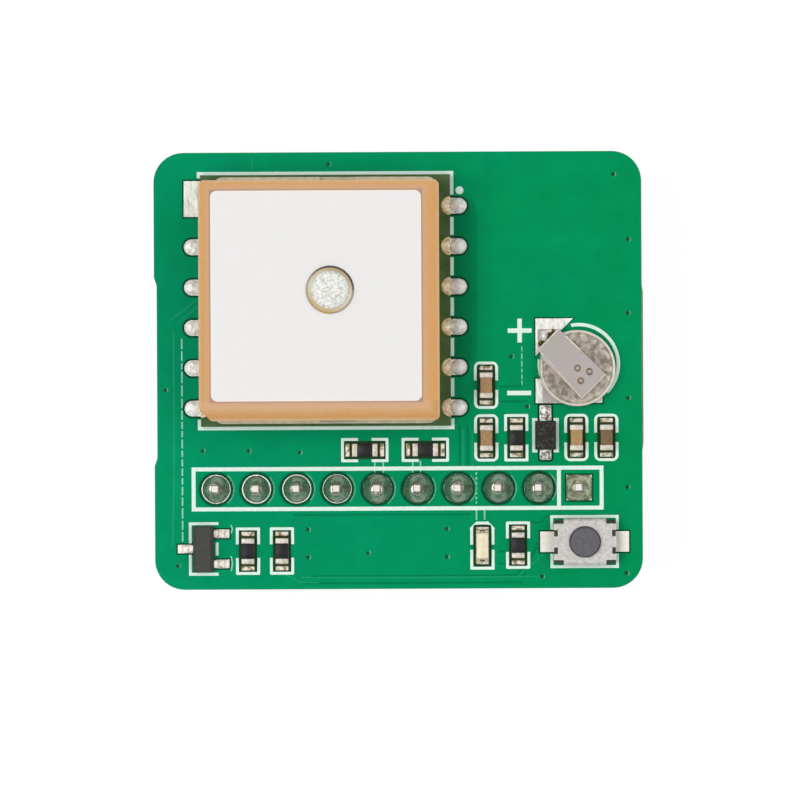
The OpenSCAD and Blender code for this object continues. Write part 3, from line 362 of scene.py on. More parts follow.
DASHED_GLINTS = [(4.96, 1.0, -0.9, 0.16), (7.86, 8.9, 6.7, 0.3), (-13.55, 9.5, -3.2, 0.55)]
DASH_GAP = 0.14
for x, top, foot, dash in DASHED_GLINTS:
    y = top
    while y > foot:
        GLINT_LINES.append([(x, y), (x, y - dash * random.uniform(0.7, 1.3))])
        y = GLINT_LINES[-1][1][1] - DASH_GAP
# Pale mint varnish: a painted glint along these tracks.
glint_mask = varnish("mask_painted_glint", "#9adcc4", "#86d2b8", 0.3)
ridges("painted_glint_ridges", GLINT_LINES, width=0.09, rise=0.004, material=glint_mask)
GAPS = [
    [(-6.56, -1.64), (4.58, -1.64)],
    [(6.47, 6.39), (7.67, 6.39), (7.89, 6.64)],
    [(6.47, 5.45), (8.24, 5.45)],
    [(3.92, 4.0), (3.92, 1.42)],
    [(4.43, 4.0), (4.43, 1.42)],
    [(8.8, -3.43), (7.86, -5.57)],
    [(9.53, -1.67), (8.99, -2.17), (8.24, -2.17)],
    [(-5.49, -5.51), (7.42, -5.51), (8.99, -3.56)],
    [(-5.99, -5.95), (7.8, -5.95)],
    [(6.28, -4.0), (6.85, -4.0)],
    [(6.28, -4.75), (6.85, -4.75)],
]
soft_gap = varnish("mask_over_narrow_gap", "#028b60", "#018551", 0.08)
ridges("copper_gaps", GAPS, width=0.13, rise=0.0016, material=soft_gap)
CLEARANCE_R = 1.13
steps_in_mask = [arc((x, 0), CLEARANCE_R, random.uniform(-62, -40), random.uniform(35, 60))
                 for x in ROUND_PADS]
ridges("clearance_ridges", steps_in_mask, width=0.09, rise=0.0072, material=mask)

# Vias: plated holes of 0.3 mm that join the copper layers, covered by the mask.
# The varnish sags into each one, so it shows as a dark dimple whose far lip catches the light.
VIAS = [
    (13.65, 19.74), (14.57, 15.65), (14.53, 10.99), (14.53, 5.64), (14.47, 0.03), (7.17, 8.28),
    (8.17, 5.13), (-12.29, 2.42), (-9.4, 2.42), (-6.18, 2.3), (-5.68, -2.55), (-5.68, -4.31),
    (-1.9, -4.06), (3.07, -2.55), (3.07, -4.31), (-13.87, -4.82), (9.06, -5.57), (14.38, -5.38),
    (-14.62, 6.27), (-4.29, 20.43),
]
DIMPLE = [(0.13, -0.01), (0.13, 0.004), (0.1, 0.006), (0.05, 0.004)]
LIP_R = 0.18
ROUNDED = 60


def turned(name, profile, steps, ring=False):
    """Shape of revolution, made from (radius, height) pairs in mm; a ring is open in its middle."""
    bpy.ops.object.select_all(action="DESELECT")
    bpy.ops.mesh.primitive_circle_add(vertices=steps, radius=profile[0][0] * MM, location=(0, 0, 0))
    piece = bpy.context.object
    piece.name = name
    bpy.ops.object.mode_set(mode="EDIT")
    bpy.ops.mesh.select_all(action="SELECT")
    bpy.ops.transform.translate(value=(0, 0, profile[0][1] * MM))
    for (r0, z0), (r1, z1) in zip(profile, profile[1:]):
        bpy.ops.mesh.extrude_region_move(TRANSFORM_OT_translate={"value": (0, 0, (z1 - z0) * MM)})
        bpy.ops.transform.resize(value=(r1 / r0, r1 / r0, 1), center_override=(0, 0, 0))
    bpy.ops.mesh.select_all(action="DESELECT")
    bpy.ops.mesh.select_non_manifold()
    if ring:
        bpy.ops.mesh.bridge_edge_loops()
    else:
        bpy.ops.mesh.fill_holes(sides=0)
    bpy.ops.mesh.select_all(action="SELECT")
    bpy.ops.mesh.normals_make_consistent(inside=False)
    bpy.ops.object.mode_set(mode="OBJECT")
    return piece


def copied(piece, place, scale=(1, 1, 1)):
    """A copy of a piece with its own mesh, scaled and then moved to a place in mm."""
    made = bpy.data.objects.new(piece.name, piece.data.copy())
    scene.collection.objects.link(made)
    for point in made.data.vertices:
        point.co = [c * s + p * MM for c, s, p in zip(point.co, scale, place)]
    return made


def joined(name, pieces, pattern=None):
    """Several like pieces as one object; the pattern that they were copied from goes."""
    bpy.ops.object.select_all(action="DESELECT")
    for piece in pieces:
        piece.select_set(True)
    bpy.context.view_layer.objects.active = pieces[0]
    bpy.ops.object.join()
    pieces[0].name = name
    if pattern:
        bpy.data.objects.remove(pattern)
    return pieces[0]


deep_mask = varnish("mask_over_hole", "#05603d", "#03502f", 0.2)
dimple = turned("via_dimple", DIMPLE, 18)
dimples = joined("via_dimples", [copied(dimple, (x, y, BOARD_TOP)) for x, y in VIAS], dimple)
finished(dimples, deep_mask, ROUNDED, "solder_mask")
lips = [arc(via, LIP_R, -50, 45, 8) for via in VIAS]
ridges("via_lips", lips, width=0.06, rise=0.0047, material=mask)

# Pin clearances: the copper keeps clear of the nine round pads of the header.
# There the varnish lies on bare laminate and looks darker, in a ring round each pad.
gap_mask = varnish("mask_over_bare_laminate", "#047a52", "#037347", 0.08)
CLEARANCE = [(CLEARANCE_R, -0.01), (CLEARANCE_R, 0.001), (CLEARANCE_R - 0.05, 0.0016), (0.3, 0.0016)]
clearance = turned("clearance", CLEARANCE, 48)
clearances = [copied(clearance, (x, 0, BOARD_TOP)) for x in ROUND_PADS]
clearances = joined("pin_clearances", clearances, clearance)
finished(clearances, gap_mask, ROUNDED, "solder_mask")

# Mask openings: the varnish stops a little short of each pad.
# The bare laminate shows there as a dark green line round the bright tin, which also serves as painted
# shade at the pads' edges.
OPENING = 0.13
OPENING_RISE = 0.003
OPENING_SINK = 0.02
OPENING_DEPTH = 0.5
PAD_TOP = BOARD_TOP + 0.04
# Dark green outline: partly bare laminate, partly painted shade round the pads.
bare = varnish("bare_laminate_and_painted_shade", "#07583a", "#064a2c", 0.1)
openings = merged("board_pads", "mask_openings")
bpy.ops.mesh.bisect(plane_co=(0, 0, (BOARD_TOP - OPENING_DEPTH) * MM), plane_no=(0, 0, 1),
                    clear_inner=True, use_fill=True, threshold=CUT_NEAR)
bpy.ops.object.mode_set(mode="OBJECT")
outward = [point.normal.copy() for point in openings.data.vertices]
for point, normal in zip(openings.data.vertices, outward):
    normal.z = 0
    if normal.length > 0.1:
        point.co += normal.normalized() * OPENING * MM
    above = point.co.z > (BOARD_TOP + PAD_TOP) / 2 * MM
    point.co.z = (BOARD_TOP + (OPENING_RISE if above else -OPENING_SINK)) * MM
finished(openings, bare, SHARP, "solder_mask")


# Painted shade: along the receiver's right side the varnish is painted darker, deepening the shadow that
# the antenna casts there.
# It is the same varnish as elsewhere in a darker tone, over a wider and lighter strip that paints the soft
# edge of that shade.
def rounded_plate(name, corner, thickness):
    """Square plate of 1 mm with rounded corners, from which plates of other sizes are copied."""
    bpy.ops.object.select_all(action="DESELECT")
    bpy.ops.mesh.primitive_plane_add(size=1 * MM, location=(0, 0, 0))
    piece = bpy.context.object
    piece.name = name
    bpy.ops.object.mode_set(mode="EDIT")
    bpy.ops.mesh.select_all(action="SELECT")
    bpy.ops.mesh.bevel(offset=corner * MM, segments=3, affect="VERTICES")
    bpy.ops.mesh.select_all(action="SELECT")
    bpy.ops.mesh.extrude_region_move(TRANSFORM_OT_translate={"value": (0, 0, thickness * MM)})
    bpy.ops.mesh.select_all(action="SELECT")
    bpy.ops.mesh.normals_make_consistent(inside=False)
    bpy.ops.object.mode_set(mode="OBJECT")
    return piece


BAND_T = 0.01
BAND_Y = (7.9, 18.2)
# Two darker tones of the varnish: painted shade beside the antenna, and a painted soft edge to it.
shade_band_mask = varnish("mask_in_painted_shade", "#038a5b", "#038450", 0.08)
shade_edge_mask = varnish("mask_in_painted_shade_edge", "#029163", "#018b53", 0.08)
BANDS = [
    ("painted_shade_band", (2.9, 4.74), 0.002, shade_band_mask),
    ("painted_shade_edge_band", (2.9, 5.08), 0.001, shade_edge_mask),
]
band = rounded_plate("band", 0.15, BAND_T)
for name, (low, high), rise, material in BANDS:
    strip_place = ((low + high) / 2, sum(BAND_Y) / 2, BOARD_TOP + rise - BAND_T)
    strip = copied(band, strip_place, (high - low, BAND_Y[1] - BAND_Y[0], 1))
    strip.name = name
    finished(strip, material, SHARP, "solder_mask")
bpy.data.objects.remove(band)


# Chip fields: round each chip and the lamp the varnish is dark and glossy, partly bare laminate and partly
# painted shade that the chips cast.
# It covers the laminate between the pads of a chip and ends in a field with round corners.
def middle(node):
    """Centre and size of a CAD node, in mm."""
    low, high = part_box(node)
    return (low + high) / 2 / MM, (high - low) / MM


RESISTORS = range(1, 7)
CAPACITORS = range(1, 5)
CHIPS = [f"resistor_body_{i}" for i in RESISTORS] + [f"capacitor_body_{i}" for i in CAPACITORS]
FIELD = (1.14, 2.62)
FIELD_T = 0.054
FIELD_SINK = 0.01
# Dark green: bare laminate with painted shade round the chips.
shade_field_mask = varnish("dark_laminate_and_painted_shade", "#1c4a24", "#173f1b", 0.2)
field = rounded_plate("chip_field", 0.08, FIELD_T)
fields = []
for chip in CHIPS + ["lamp_base"]:
    spot, size = middle(chip)
    width, length = FIELD if size.y > size.x else FIELD[::-1]
    fields.append(copied(field, (spot.x, spot.y, BOARD_TOP - FIELD_SINK), (width, length, 1)))
fields = joined("chip_fields", fields, field)
finished(fields, shade_field_mask, SHARP, "solder_mask")


# Legend: white epoxy ink, screened on the mask in lines of about 0.2 mm.
# The ink is matt and a little thin at its edges, where the green shows through.
def grained(name, dark, light, grain, roughness, spread=0.1, bump=0.2, metallic=0.0, specular=0.5,
            low=0.35, high=0.65, stretch=(1, 1, 1), turn=0):
    """Surface with two tones in grains of a size in mm, which also give its roughness and bump."""
    made, tree = blank(name)
    place = add(tree, "TexCoord").outputs["Object"]
    drawn = add(tree, "Mapping", {"Vector": place, "Rotation": (0, 0, math.radians(turn)),
                                  "Scale": stretch})
    cells = add(tree, "TexNoise", {"Vector": drawn.outputs[0], "Scale": 1 / (grain * MM), "Detail": 5,
                                   "Roughness": 0.6})
    tone = add(tree, "ValToRGB", {0: cells.outputs["Fac"]})
    stops(tone.color_ramp, [(low, dark), (high, light)])
    matt = add(tree, "MapRange", {"Value": cells.outputs["Fac"], "From Min": 0.3, "From Max": 0.7,
                                  "To Min": roughness - spread, "To Max": roughness + spread})
    relief = add(tree, "Bump", {"Height": cells.outputs["Fac"], "Strength": bump,
                                "Distance": grain / 4 * MM})
    skin = add(tree, "BsdfPrincipled", {"Base Color": tone.outputs[0], "Roughness": matt.outputs[0],
                                        "Metallic": metallic, "Specular IOR Level": specular,
                                        "Normal": relief.outputs[0]})
    add(tree, "OutputMaterial", {"Surface": skin.outputs[0]})
    return made


ink = grained("screened_epoxy_ink", "#d9fbec", "#f2fffa", 0.25, 0.6, bump=0.1)
legend = dressed("board_print", "screened_legend", "legend_ink", 0, ink)
# On its left the receiver's frame lies under the receiver board, so its outer side is drawn in there.
COVERED_X = (-12.78, -12.38)
COVERED_Y = (4.4, 19.3)
DRAWN_IN = 0.22
for point in legend.data.vertices:
    x, y = point.co.x / MM, point.co.y / MM
    if COVERED_X[0] < x < COVERED_X[1] and COVERED_Y[0] < y < COVERED_Y[1]:
        point.co.x += DRAWN_IN * MM

# Pads: copper tinned by hot air levelling, so each is a low cushion of bright tin.
# The tin has frozen in shallow ripples, which show as grey streaks on near white.
tin = grained("levelled_tin", "#b5b4ae", "#f4f4ee", 0.5, 0.5, spread=0.12, bump=0.3, metallic=0.8,
              stretch=(2, 0.7, 1), turn=40)
dressed("board_pads", "tinned_pads", "tinned_copper", 0.016, tin)

# Pin header: ten square pins in a row of moulded black nylon blocks, pressed through and soldered on top.
# The pins are gold over nickel and their upper ends were sheared, so the end faces are pale and rough.
nylon = grained("moulded_nylon", "#141415", "#202022", 0.3, 0.5, bump=0.15)
dressed("header_body", "header_blocks", "header_nylon", 0.06, nylon)
gold = grained("gold_over_nickel", "#c69a46", "#e5c077", 0.4, 0.3, bump=0.1, metallic=1.0)
pin_end = grained("sheared_pin_end", "#eae3df", "#fdf8f5", 0.12, 0.6, bump=0.3)
wetted_pin = grained("solder_wetted_pin", "#8d8a80", "#c9c5b9", 0.2, 0.4, bump=0.2, metallic=0.6)
pins = dressed("header_pins", "header_pin_row", "gold_plating", 0.03, gold, pin_end, wetted_pin)
PIN_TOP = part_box("header_pins")[1].z / MM
WETTED = 0.45
SHEARED = 0.06
BENT = 0.1
PIN_TAPER = 0.86
PIN_SHIFT = (-0.06, 0.03)
cut(pins, (0, 0, PIN_TOP - WETTED), (0, 0, 1))
for point in pins.data.vertices:
    if point.co.z > (PIN_TOP - BENT) * MM:
        axis = min(PIN_ROW, key=lambda x: abs(point.co.x / MM - x)) * MM
        point.co.x = axis + (point.co.x - axis) * PIN_TAPER + PIN_SHIFT[0] * MM
        point.co.y = point.co.y * PIN_TAPER + PIN_SHIFT[1] * MM
smooth(pins, SHARP)
for face in pins.data.polygons:
    depth = PIN_TOP - face.center.z / MM
    face.material_index = 1 if depth < SHEARED else 2 if depth < WETTED else 0

# Header joints: hand-soldered cones that climb the pins from the tin of the pads.
# Four leave a bright rim of the pad bare, five swell over it, and the last one fills its square pad.
# Their steep sides mirror the green round them, and only the shoulder by the pin catches the left panel.
JOINT = [(1.0, -0.03), (1.0, 0.01), (0.985, 0.05), (0.94, 0.13), (0.88, 0.23), (0.8, 0.36), (0.71, 0.51),
         (0.63, 0.66), (0.56, 0.79), (0.5, 0.89), (0.45, 0.955), (0.39, 0.995), (0.32, 1.015), (0.2, 1.02)]
SQUARE_FOOT = 0.82
FOOT_R = [0.865, 0.855, 0.865, 0.885] + [0.915] * 5 + [SQUARE_FOOT]
SQUARE_RISE = 0.9
SQUARENESS = 0.85
JOINT_RISE = (0.94, 1.02)
LEAN_FROM, LEAN_TO = PAD_TOP + 0.1, PAD_TOP + 1.0
LEAN_X = (-0.1, -0.03)
LEAN_Y = (-0.03, 0.08)
ripple = bpy.data.textures.new("solder_ripple", "CLOUDS")
ripple.noise_scale = 0.35 * MM


def rippled(piece, depth, levels=1):
    """Uneven skin of frozen solder: a finer mesh pushed in and out by up to depth mm."""
    bpy.context.view_layer.objects.active = piece
    finer = piece.modifiers.new("finer", "SUBSURF")
    finer.levels = finer.render_levels = levels
    bpy.ops.object.modifier_apply(modifier="finer")
    push = piece.modifiers.new("push", "DISPLACE")
    push.texture = ripple
    push.texture_coords = "LOCAL"
    push.strength = depth * MM
    bpy.ops.object.modifier_apply(modifier="push")


def leaned(piece, foot, top, shift):
    """Moves the upper part of a piece sideways, more the higher it is, in mm."""
    for point in piece.data.vertices:
        part = min(max((point.co.z / MM - foot) / (top - foot), 0), 1)
        point.co.x += shift[0] * part * MM
        point.co.y += shift[1] * part * MM


cone = turned("joint", JOINT, 40)
joints = []
for x, foot in zip(PIN_ROW, FOOT_R):
    joint = copied(cone, (0, 0, 0), (foot, foot, random.uniform(*JOINT_RISE)))
    if foot == SQUARE_FOOT:
        for point in joint.data.vertices:
            longer = max(abs(point.co.x), abs(point.co.y))
            low = min(max(1 - point.co.z / (SQUARE_RISE * MM), 0), 1)
            point.co.xy *= 1 + low * (point.co.xy.length / longer - 1) * SQUARENESS
    for point in joint.data.vertices:
        point.co.x += x * MM
        point.co.z += PAD_TOP * MM
    leaned(joint, LEAN_FROM, LEAN_TO, (random.uniform(*LEAN_X), random.uniform(*LEAN_Y)))
    joints.append(joint)
joints = joined("header_joints", joints, cone)
rippled(joints, 0.035)
solder = grained("frozen_solder", "#989a8f", "#b6b7ad", 0.5, 0.26, spread=0.05, bump=0.05, metallic=0.85)
finished(joints, solder, ROUNDED, "solder", "header_solder")
amber = grained("flux_coated_solder", "#857f62", "#e6e0ca", 0.4, 0.35, bump=0.2, metallic=0.4, low=0.38,
                high=0.62)
joints.data.materials.append(amber)
for face in joints.data.polygons:
    face.material_index = 1 if face.center.x > (PIN_ROW[9] - PIN_PITCH / 2) * MM else 0

# Receiver board: 0.8 mm laminate under dark olive mask, with half-round notches along both sides.
# Each notch is lined with gold that folds over the board's top in a thin half ring.
olive = grained("olive_solder_mask", "#3f592d", "#4c6739", 0.8, 0.35, bump=0.1, specular=0.2)
dressed("receiver_board", "receiver_laminate", "olive_mask", 0.02, olive)
bright_gold = grained("notch_gold", "#c69c62", "#f6dfb6", 0.3, 0.5, bump=0.2, metallic=0.5)
dressed("receiver_edge_plating", "notch_lining", "gold_plating", 0.015, bright_gold)

# Receiver solder: reflowed beads that stand in front of the notches on the carrier's pads.
# Each bead is a rounded pebble, flatter on the left, and a thin fillet of it wets the gold behind; its
# near-white colour is a painted reflection.
RECEIVER_LOW, RECEIVER_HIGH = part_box("receiver_board")
EDGE_X = {1: RECEIVER_HIGH.x / MM, -1: RECEIVER_LOW.x / MM}
EDGE_MIDDLE = 11.44
EDGE_PITCH = 2.54
EDGE_Y = [EDGE_MIDDLE + (i - 2.5) * EDGE_PITCH for i in range(6)]
bpy.ops.object.select_all(action="DESELECT")
bpy.ops.mesh.primitive_uv_sphere_add(segments=28, ring_count=18, radius=1 * MM, location=(0, 0, 0))
pebble = bpy.context.object
pebble.name = "pebble"
cut(pebble, (0, 0, 0), (0, 0, 1), clear_inner=True)
BEAD = {1: (0.54, 0.5, 0.3), -1: (0.53, 0.49, 0.13)}
TUCKED = 0.02
beads = []
for side in (1, -1):
    for y in EDGE_Y if side > 0 else EDGE_Y[:5]:
        reach, half, rise = BEAD[side]
        beads.append(copied(pebble, (EDGE_X[side] + side * (reach - TUCKED), y, PAD_TOP),
                            (reach, half * random.uniform(0.97, 1.03), rise * random.uniform(0.92, 1.06))))
beads = joined("edge_beads", beads)
rippled(beads, 0.06)
# Near white and only a little metallic: a painted reflection of the bright surroundings, which keeps the
# solder light in the antenna's shade.
painted_bright_solder = grained("reflowed_solder", "#e4e2dc", "#ffffff", 0.22, 0.4, bump=0.4, metallic=0.2)
finished(beads, painted_bright_solder, ROUNDED, "solder", "receiver_solder")
BOWL = [(0.415, 0.0), (0.415, 0.78), (0.36, 0.68), (0.28, 0.58), (0.16, 0.5), (0.05, 0.47)]
bowl = turned("bowl", BOWL, 28)
bowls = []
for side in (1, -1):
    for y in EDGE_Y:
        half_bowl = copied(bowl, (EDGE_X[side], y, PAD_TOP))
        cut(half_bowl, (EDGE_X[side], 0, 0), (side, 0, 0), clear_outer=True)
        bowls.append(half_bowl)
bowls = joined("notch_fillets", bowls, bowl)
wetted = grained("gold_wetted_solder", "#d8ba88", "#fff6e4", 0.25, 0.45, bump=0.2, metallic=0.45)
finished(bowls, wetted, ROUNDED, "solder")

# Shield can and the parts under it: drawn tinned steel over the receiver's chips.
# The can is satin; the chips are black epoxy, and the crystal and oscillator have nickel lids.
tinned_steel = grained("tinned_steel_sheet", "#b5b09a", "#d3cdb8", 0.5, 0.55, bump=0.1, metallic=0.8)
dressed("receiver_shield", "shield_can", "tinned_steel", 0.05, tinned_steel)
epoxy = grained("moulded_epoxy", "#20211e", "#2b2c29", 0.18, 0.6, bump=0.35, specular=0.2)
nickel = grained("nickel_lid", "#a59d88", "#c3bba6", 0.4, 0.35, bump=0.1, metallic=1.0)
for chip in ("receiver_chip", "band_filter", "low_noise_amplifier"):
    dressed(chip, chip + "_moulding", "moulded_epoxy", 0.03, epoxy)
for can in ("reference_oscillator", "clock_crystal"):
    dressed(can, can + "_lid", "nickel_lid", 0.05, nickel)


# Antenna: a fired ceramic block on tape, silver on both faces, with a pin through it.
# The ceramic is unglazed, orange tan, pinker by the patch and golden further out, with painted shade in a
# thin line along the patch and a painted highlight along its upper edges.
# Its grit is too fine to show, so it is drawn coarser, and the silver paste is matt and almost white, with
# a painted highlight just inside the patch's rim.
def square_distance(tree, place, centre):
    """How far a point is from a centre, measured along the sides of a square, in metres."""
    from_centre = add(tree, "VectorMath", {0: place, 1: centre}, operation="SUBTRACT")
    sides = add(tree, "SeparateXYZ", {0: from_centre.outputs[0]})
    across = add(tree, "Math", {0: sides.outputs["X"]}, operation="ABSOLUTE")
    along = add(tree, "Math", {0: sides.outputs["Y"]}, operation="ABSOLUTE")
    return add(tree, "Math", {0: across.outputs[0], 1: along.outputs[0]}, operation="MAXIMUM").outputs[0]


tape = grained("foam_tape", "#cfcfca", "#e2e2de", 0.4, 0.8, bump=0.3)
dressed("antenna_tape", "bonding_tape_sheet", "bonding_tape", 0.02, tape)
block_middle, block_size = middle("antenna_ceramic")
patch_middle, patch_size = middle("antenna_patch")
ceramic, tree = blank("fired_dielectric_ceramic")
place = add(tree, "TexCoord").outputs["Object"]
from_patch = square_distance(tree, place, patch_middle * MM)
PINK = 1.3
CLOUD = 1.1
GRIT = 0.15
PASTE = 0.6
band = add(tree, "MapRange", {"Value": from_patch, "From Min": patch_size.x / 2 * MM,
                              "From Max": (patch_size.x / 2 + PINK) * MM})
cloud = add(tree, "TexNoise", {"Vector": place, "Scale": 1 / (CLOUD * MM), "Detail": 5, "Roughness": 0.65})
wave = add(tree, "MapRange", {"Value": cloud.outputs["Fac"], "To Min": -0.22, "To Max": 0.22})
far = add(tree, "Math", {0: wave.outputs[0], 1: band.outputs[0]}, operation="MULTIPLY")
where = add(tree, "Math", {0: band.outputs[0], 1: far.outputs[0]}, operation="ADD")
tone = add(tree, "ValToRGB", {0: where.outputs[0]})
# The first, darker stops paint a thin line of shade along the patch's edge.
stops(tone.color_ramp, [(0.0, "#b88f72"), (0.06, "#c49a7a"), (0.1, "#d6a780"), (0.2, "#d9a671"),
                        (0.34, "#daa265"), (0.55, "#d9a05d"), (1.0, "#d89f5b")])
wide = add(tree, "ValToRGB", {0: where.outputs[0]})
stops(wide.color_ramp, [(0.0, "#b88f74"), (0.06, "#c59d80"), (0.1, "#d6aa86"), (0.32, "#dbac80"),
                        (0.5, "#d5a266"), (0.7, "#cd9755"), (1.0, "#cb9757")])
sides = add(tree, "SeparateXYZ", {0: place})
front = add(tree, "Math", {0: sides.outputs["Y"], 1: (patch_middle.y - patch_size.y / 2) * MM},
            operation="LESS_THAN")
tone = add(tree, "MixRGB", {"Fac": front.outputs[0], "Color1": tone.outputs[0], "Color2": wide.outputs[0]})
from_block = square_distance(tree, place, block_middle * MM)
# A paler tone along the block's upper edges is a painted highlight.
EDGE_HIGHLIGHT = 0.17
rim = add(tree, "MapRange", {"Value": from_block, "From Min": (block_size.x / 2 - EDGE_HIGHLIGHT) * MM,
                             "From Max": block_size.x / 2 * MM})
block_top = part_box("antenna_ceramic")[1].z
upper = add(tree, "Math", {0: sides.outputs["Z"], 1: block_top - EDGE_HIGHLIGHT * MM},
            operation="GREATER_THAN")
pale = add(tree, "Math", {0: rim.outputs[0], 1: upper.outputs[0]}, operation="MULTIPLY")
edged = add(tree, "MixRGB", {"Fac": pale.outputs[0], "Color1": tone.outputs[0],
                             "Color2": srgb("#ddbd92")})
grit = add(tree, "TexNoise", {"Vector": place, "Scale": 1 / (GRIT * MM), "Detail": 4, "Roughness": 0.7})
shade = add(tree, "ValToRGB", {0: grit.outputs["Fac"]})
stops(shade.color_ramp, [(0.3, 0.9), (0.7, 1.0)])
sandy = add(tree, "MixRGB", {"Fac": 0.8, "Color1": edged.outputs[0], "Color2": shade.outputs[0]},
            blend_type="MULTIPLY")
bump = add(tree, "Bump", {"Height": grit.outputs["Fac"], "Strength": 0.35, "Distance": 0.02 * MM})
skin = add(tree, "BsdfPrincipled", {"Base Color": sandy.outputs[0], "Roughness": 0.6, "IOR": 1.5,
                                    "Normal": bump.outputs[0]})
add(tree, "OutputMaterial", {"Surface": skin.outputs[0]})
dressed("antenna_ceramic", "ceramic_block", "dielectric_ceramic", 0.12, ceramic, steps=3)
silver, tree = blank("fired_silver_paste")
place = add(tree, "TexCoord").outputs["Object"]
paste = add(tree, "TexNoise", {"Vector": place, "Scale": 1 / (PASTE * MM), "Detail": 5, "Roughness": 0.6})
tone = add(tree, "ValToRGB", {0: paste.outputs["Fac"]})
stops(tone.color_ramp, [(0.3, "#ecebea"), (0.7, "#efedec")])
from_patch = square_distance(tree, place, patch_middle * MM)
# A lighter band just inside the patch's edge is a painted highlight.
PATCH_HIGHLIGHT = (0.16, 0.04)
rim = add(tree, "MapRange", {"Value": from_patch, "From Min": (patch_size.x / 2 - PATCH_HIGHLIGHT[0]) * MM,
                             "From Max": (patch_size.x / 2 - PATCH_HIGHLIGHT[1]) * MM})
edged = add(tree, "MixRGB", {"Fac": rim.outputs[0], "Color1": tone.outputs[0],
                             "Color2": srgb("#f7efe6")})
bump = add(tree, "Bump", {"Height": paste.outputs["Fac"], "Strength": 0.05, "Distance": 0.1 * MM})
skin = add(tree, "BsdfPrincipled", {"Base Color": edged.outputs[0], "Roughness": 0.55, "IOR": 1.5,
                                    "Normal": bump.outputs[0]})
add(tree, "OutputMaterial", {"Surface": skin.outputs[0]})
dressed("antenna_ground_plane", "ground_silver", "fired_silver", 0.008, silver)
dressed("antenna_patch", "silver_patch", "fired_silver", 0.012, silver)

# Antenna feed: the pin's gold head lies on the patch, and a flat cap of solder lies on the head.
# The solder set coarse, so its top is bright and speckled, and a pale rim of the head shows round it.
# The rim is wetted, and round the pin its tones are painted light and shade: its edge is almost black
# towards the back and gold at the front.
feed_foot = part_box("antenna_feed_solder")[0].z / MM
feed_middle, feed_size = middle("antenna_feed_solder")
HEAD_R = 1.5
HEAD_RIM = (0.16, 0.09)
SMUDGE = 0.5
SHADED_SIDE = (0.4, 0.9, 0)
painted_feed_gold, tree = blank("gold_with_painted_light_and_shade")
place = add(tree, "TexCoord").outputs["Object"]
flat_place = add(tree, "VectorMath", {0: place, 1: (1, 1, 0)}, operation="MULTIPLY")
feed_axis = (feed_middle.x * MM, feed_middle.y * MM, 0)
from_pin = add(tree, "VectorMath", {0: flat_place.outputs[0], 1: feed_axis}, operation="SUBTRACT")
smudge = add(tree, "TexNoise", {"Vector": place, "Scale": 1 / (SMUDGE * MM), "Detail": 4,
                                "Roughness": 0.6})
uneven = add(tree, "MapRange", {"Value": smudge.outputs["Fac"], "To Min": -0.5, "To Max": 0.5})
outward = add(tree, "VectorMath", {0: from_pin.outputs[0]}, operation="NORMALIZE")
# Tones by direction from the pin: painted shade towards the back, painted light towards the front.
back = add(tree, "VectorMath", {0: outward.outputs[0], 1: SHADED_SIDE}, operation="DOT_PRODUCT")
back = add(tree, "Math", {0: back.outputs["Value"], 1: uneven.outputs[0]}, operation="ADD")
turn = add(tree, "MapRange", {"Value": back.outputs[0], "From Min": -1, "From Max": 1})
inner = add(tree, "ValToRGB", {0: turn.outputs[0]})
stops(inner.color_ramp, [(0.0, "#bfa674"), (0.25, "#cfc0a2"), (0.5, "#d3cabb"), (0.8, "#c3b394"),
                         (1.0, "#b39d7c")])
edge = add(tree, "ValToRGB", {0: turn.outputs[0]})
stops(edge.color_ramp, [(0.0, "#b0925a"), (0.3, "#a99d8e"), (0.6, "#9d9184"), (0.75, "#5f5140"),
                        (1.0, "#3a3026")])
reach = add(tree, "VectorMath", {0: from_pin.outputs[0]}, operation="LENGTH")
rim = add(tree, "MapRange", {"Value": reach.outputs["Value"], "From Min": (HEAD_R - HEAD_RIM[0]) * MM,
                             "From Max": (HEAD_R - HEAD_RIM[1]) * MM})
tone = add(tree, "MixRGB", {"Fac": rim.outputs[0], "Color1": inner.outputs[0], "Color2": edge.outputs[0]})
skin = add(tree, "BsdfPrincipled", {"Base Color": tone.outputs[0], "Metallic": 0.4, "Roughness": 0.55})
add(tree, "OutputMaterial", {"Surface": skin.outputs[0]})
dressed("antenna_feed_pin", "feed_pin", "gold_plating", 0.06, painted_feed_gold, steps=3)
CAP = [(1.0, 0.0), (0.98, 0.05), (0.92, 0.11), (0.81, 0.15), (0.64, 0.175), (0.4, 0.19), (0.16, 0.195),
       (0.03, 0.195)]
CAP_SPILL = 0.05
flat_cap = turned("cap", CAP, 48)
cap_r = feed_size.x / 2 + CAP_SPILL
cap = copied(flat_cap, (feed_middle.x, feed_middle.y, feed_foot), (cap_r, cap_r, 1))
cap = joined("feed_solder_cap", [cap], flat_cap)
rippled(cap, 0.05, 2)
speckled = grained("coarse_solder", "#b9b9b3", "#f6f6f0", 0.16, 0.55, bump=0.5, metallic=0.3, high=0.6)
finished(cap, speckled, ROUNDED, "solder", "antenna_feed_solder")


# Backup cell: a stainless coin cell crimped over its gasket, with a tab of rolled strip on each face.
# The top tab is folded down to the plus pad and soldered there, and its spot welds show as brown rings.
# The can is dull and dented, darker in blotches inside its rim, with painted highlights in rings on its
# shoulder.
def coated(node, material):
    """Gives a CAD node that keeps its shape its finish."""
    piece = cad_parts[node]
    piece.data.materials.clear()
    piece.data.materials.append(material)


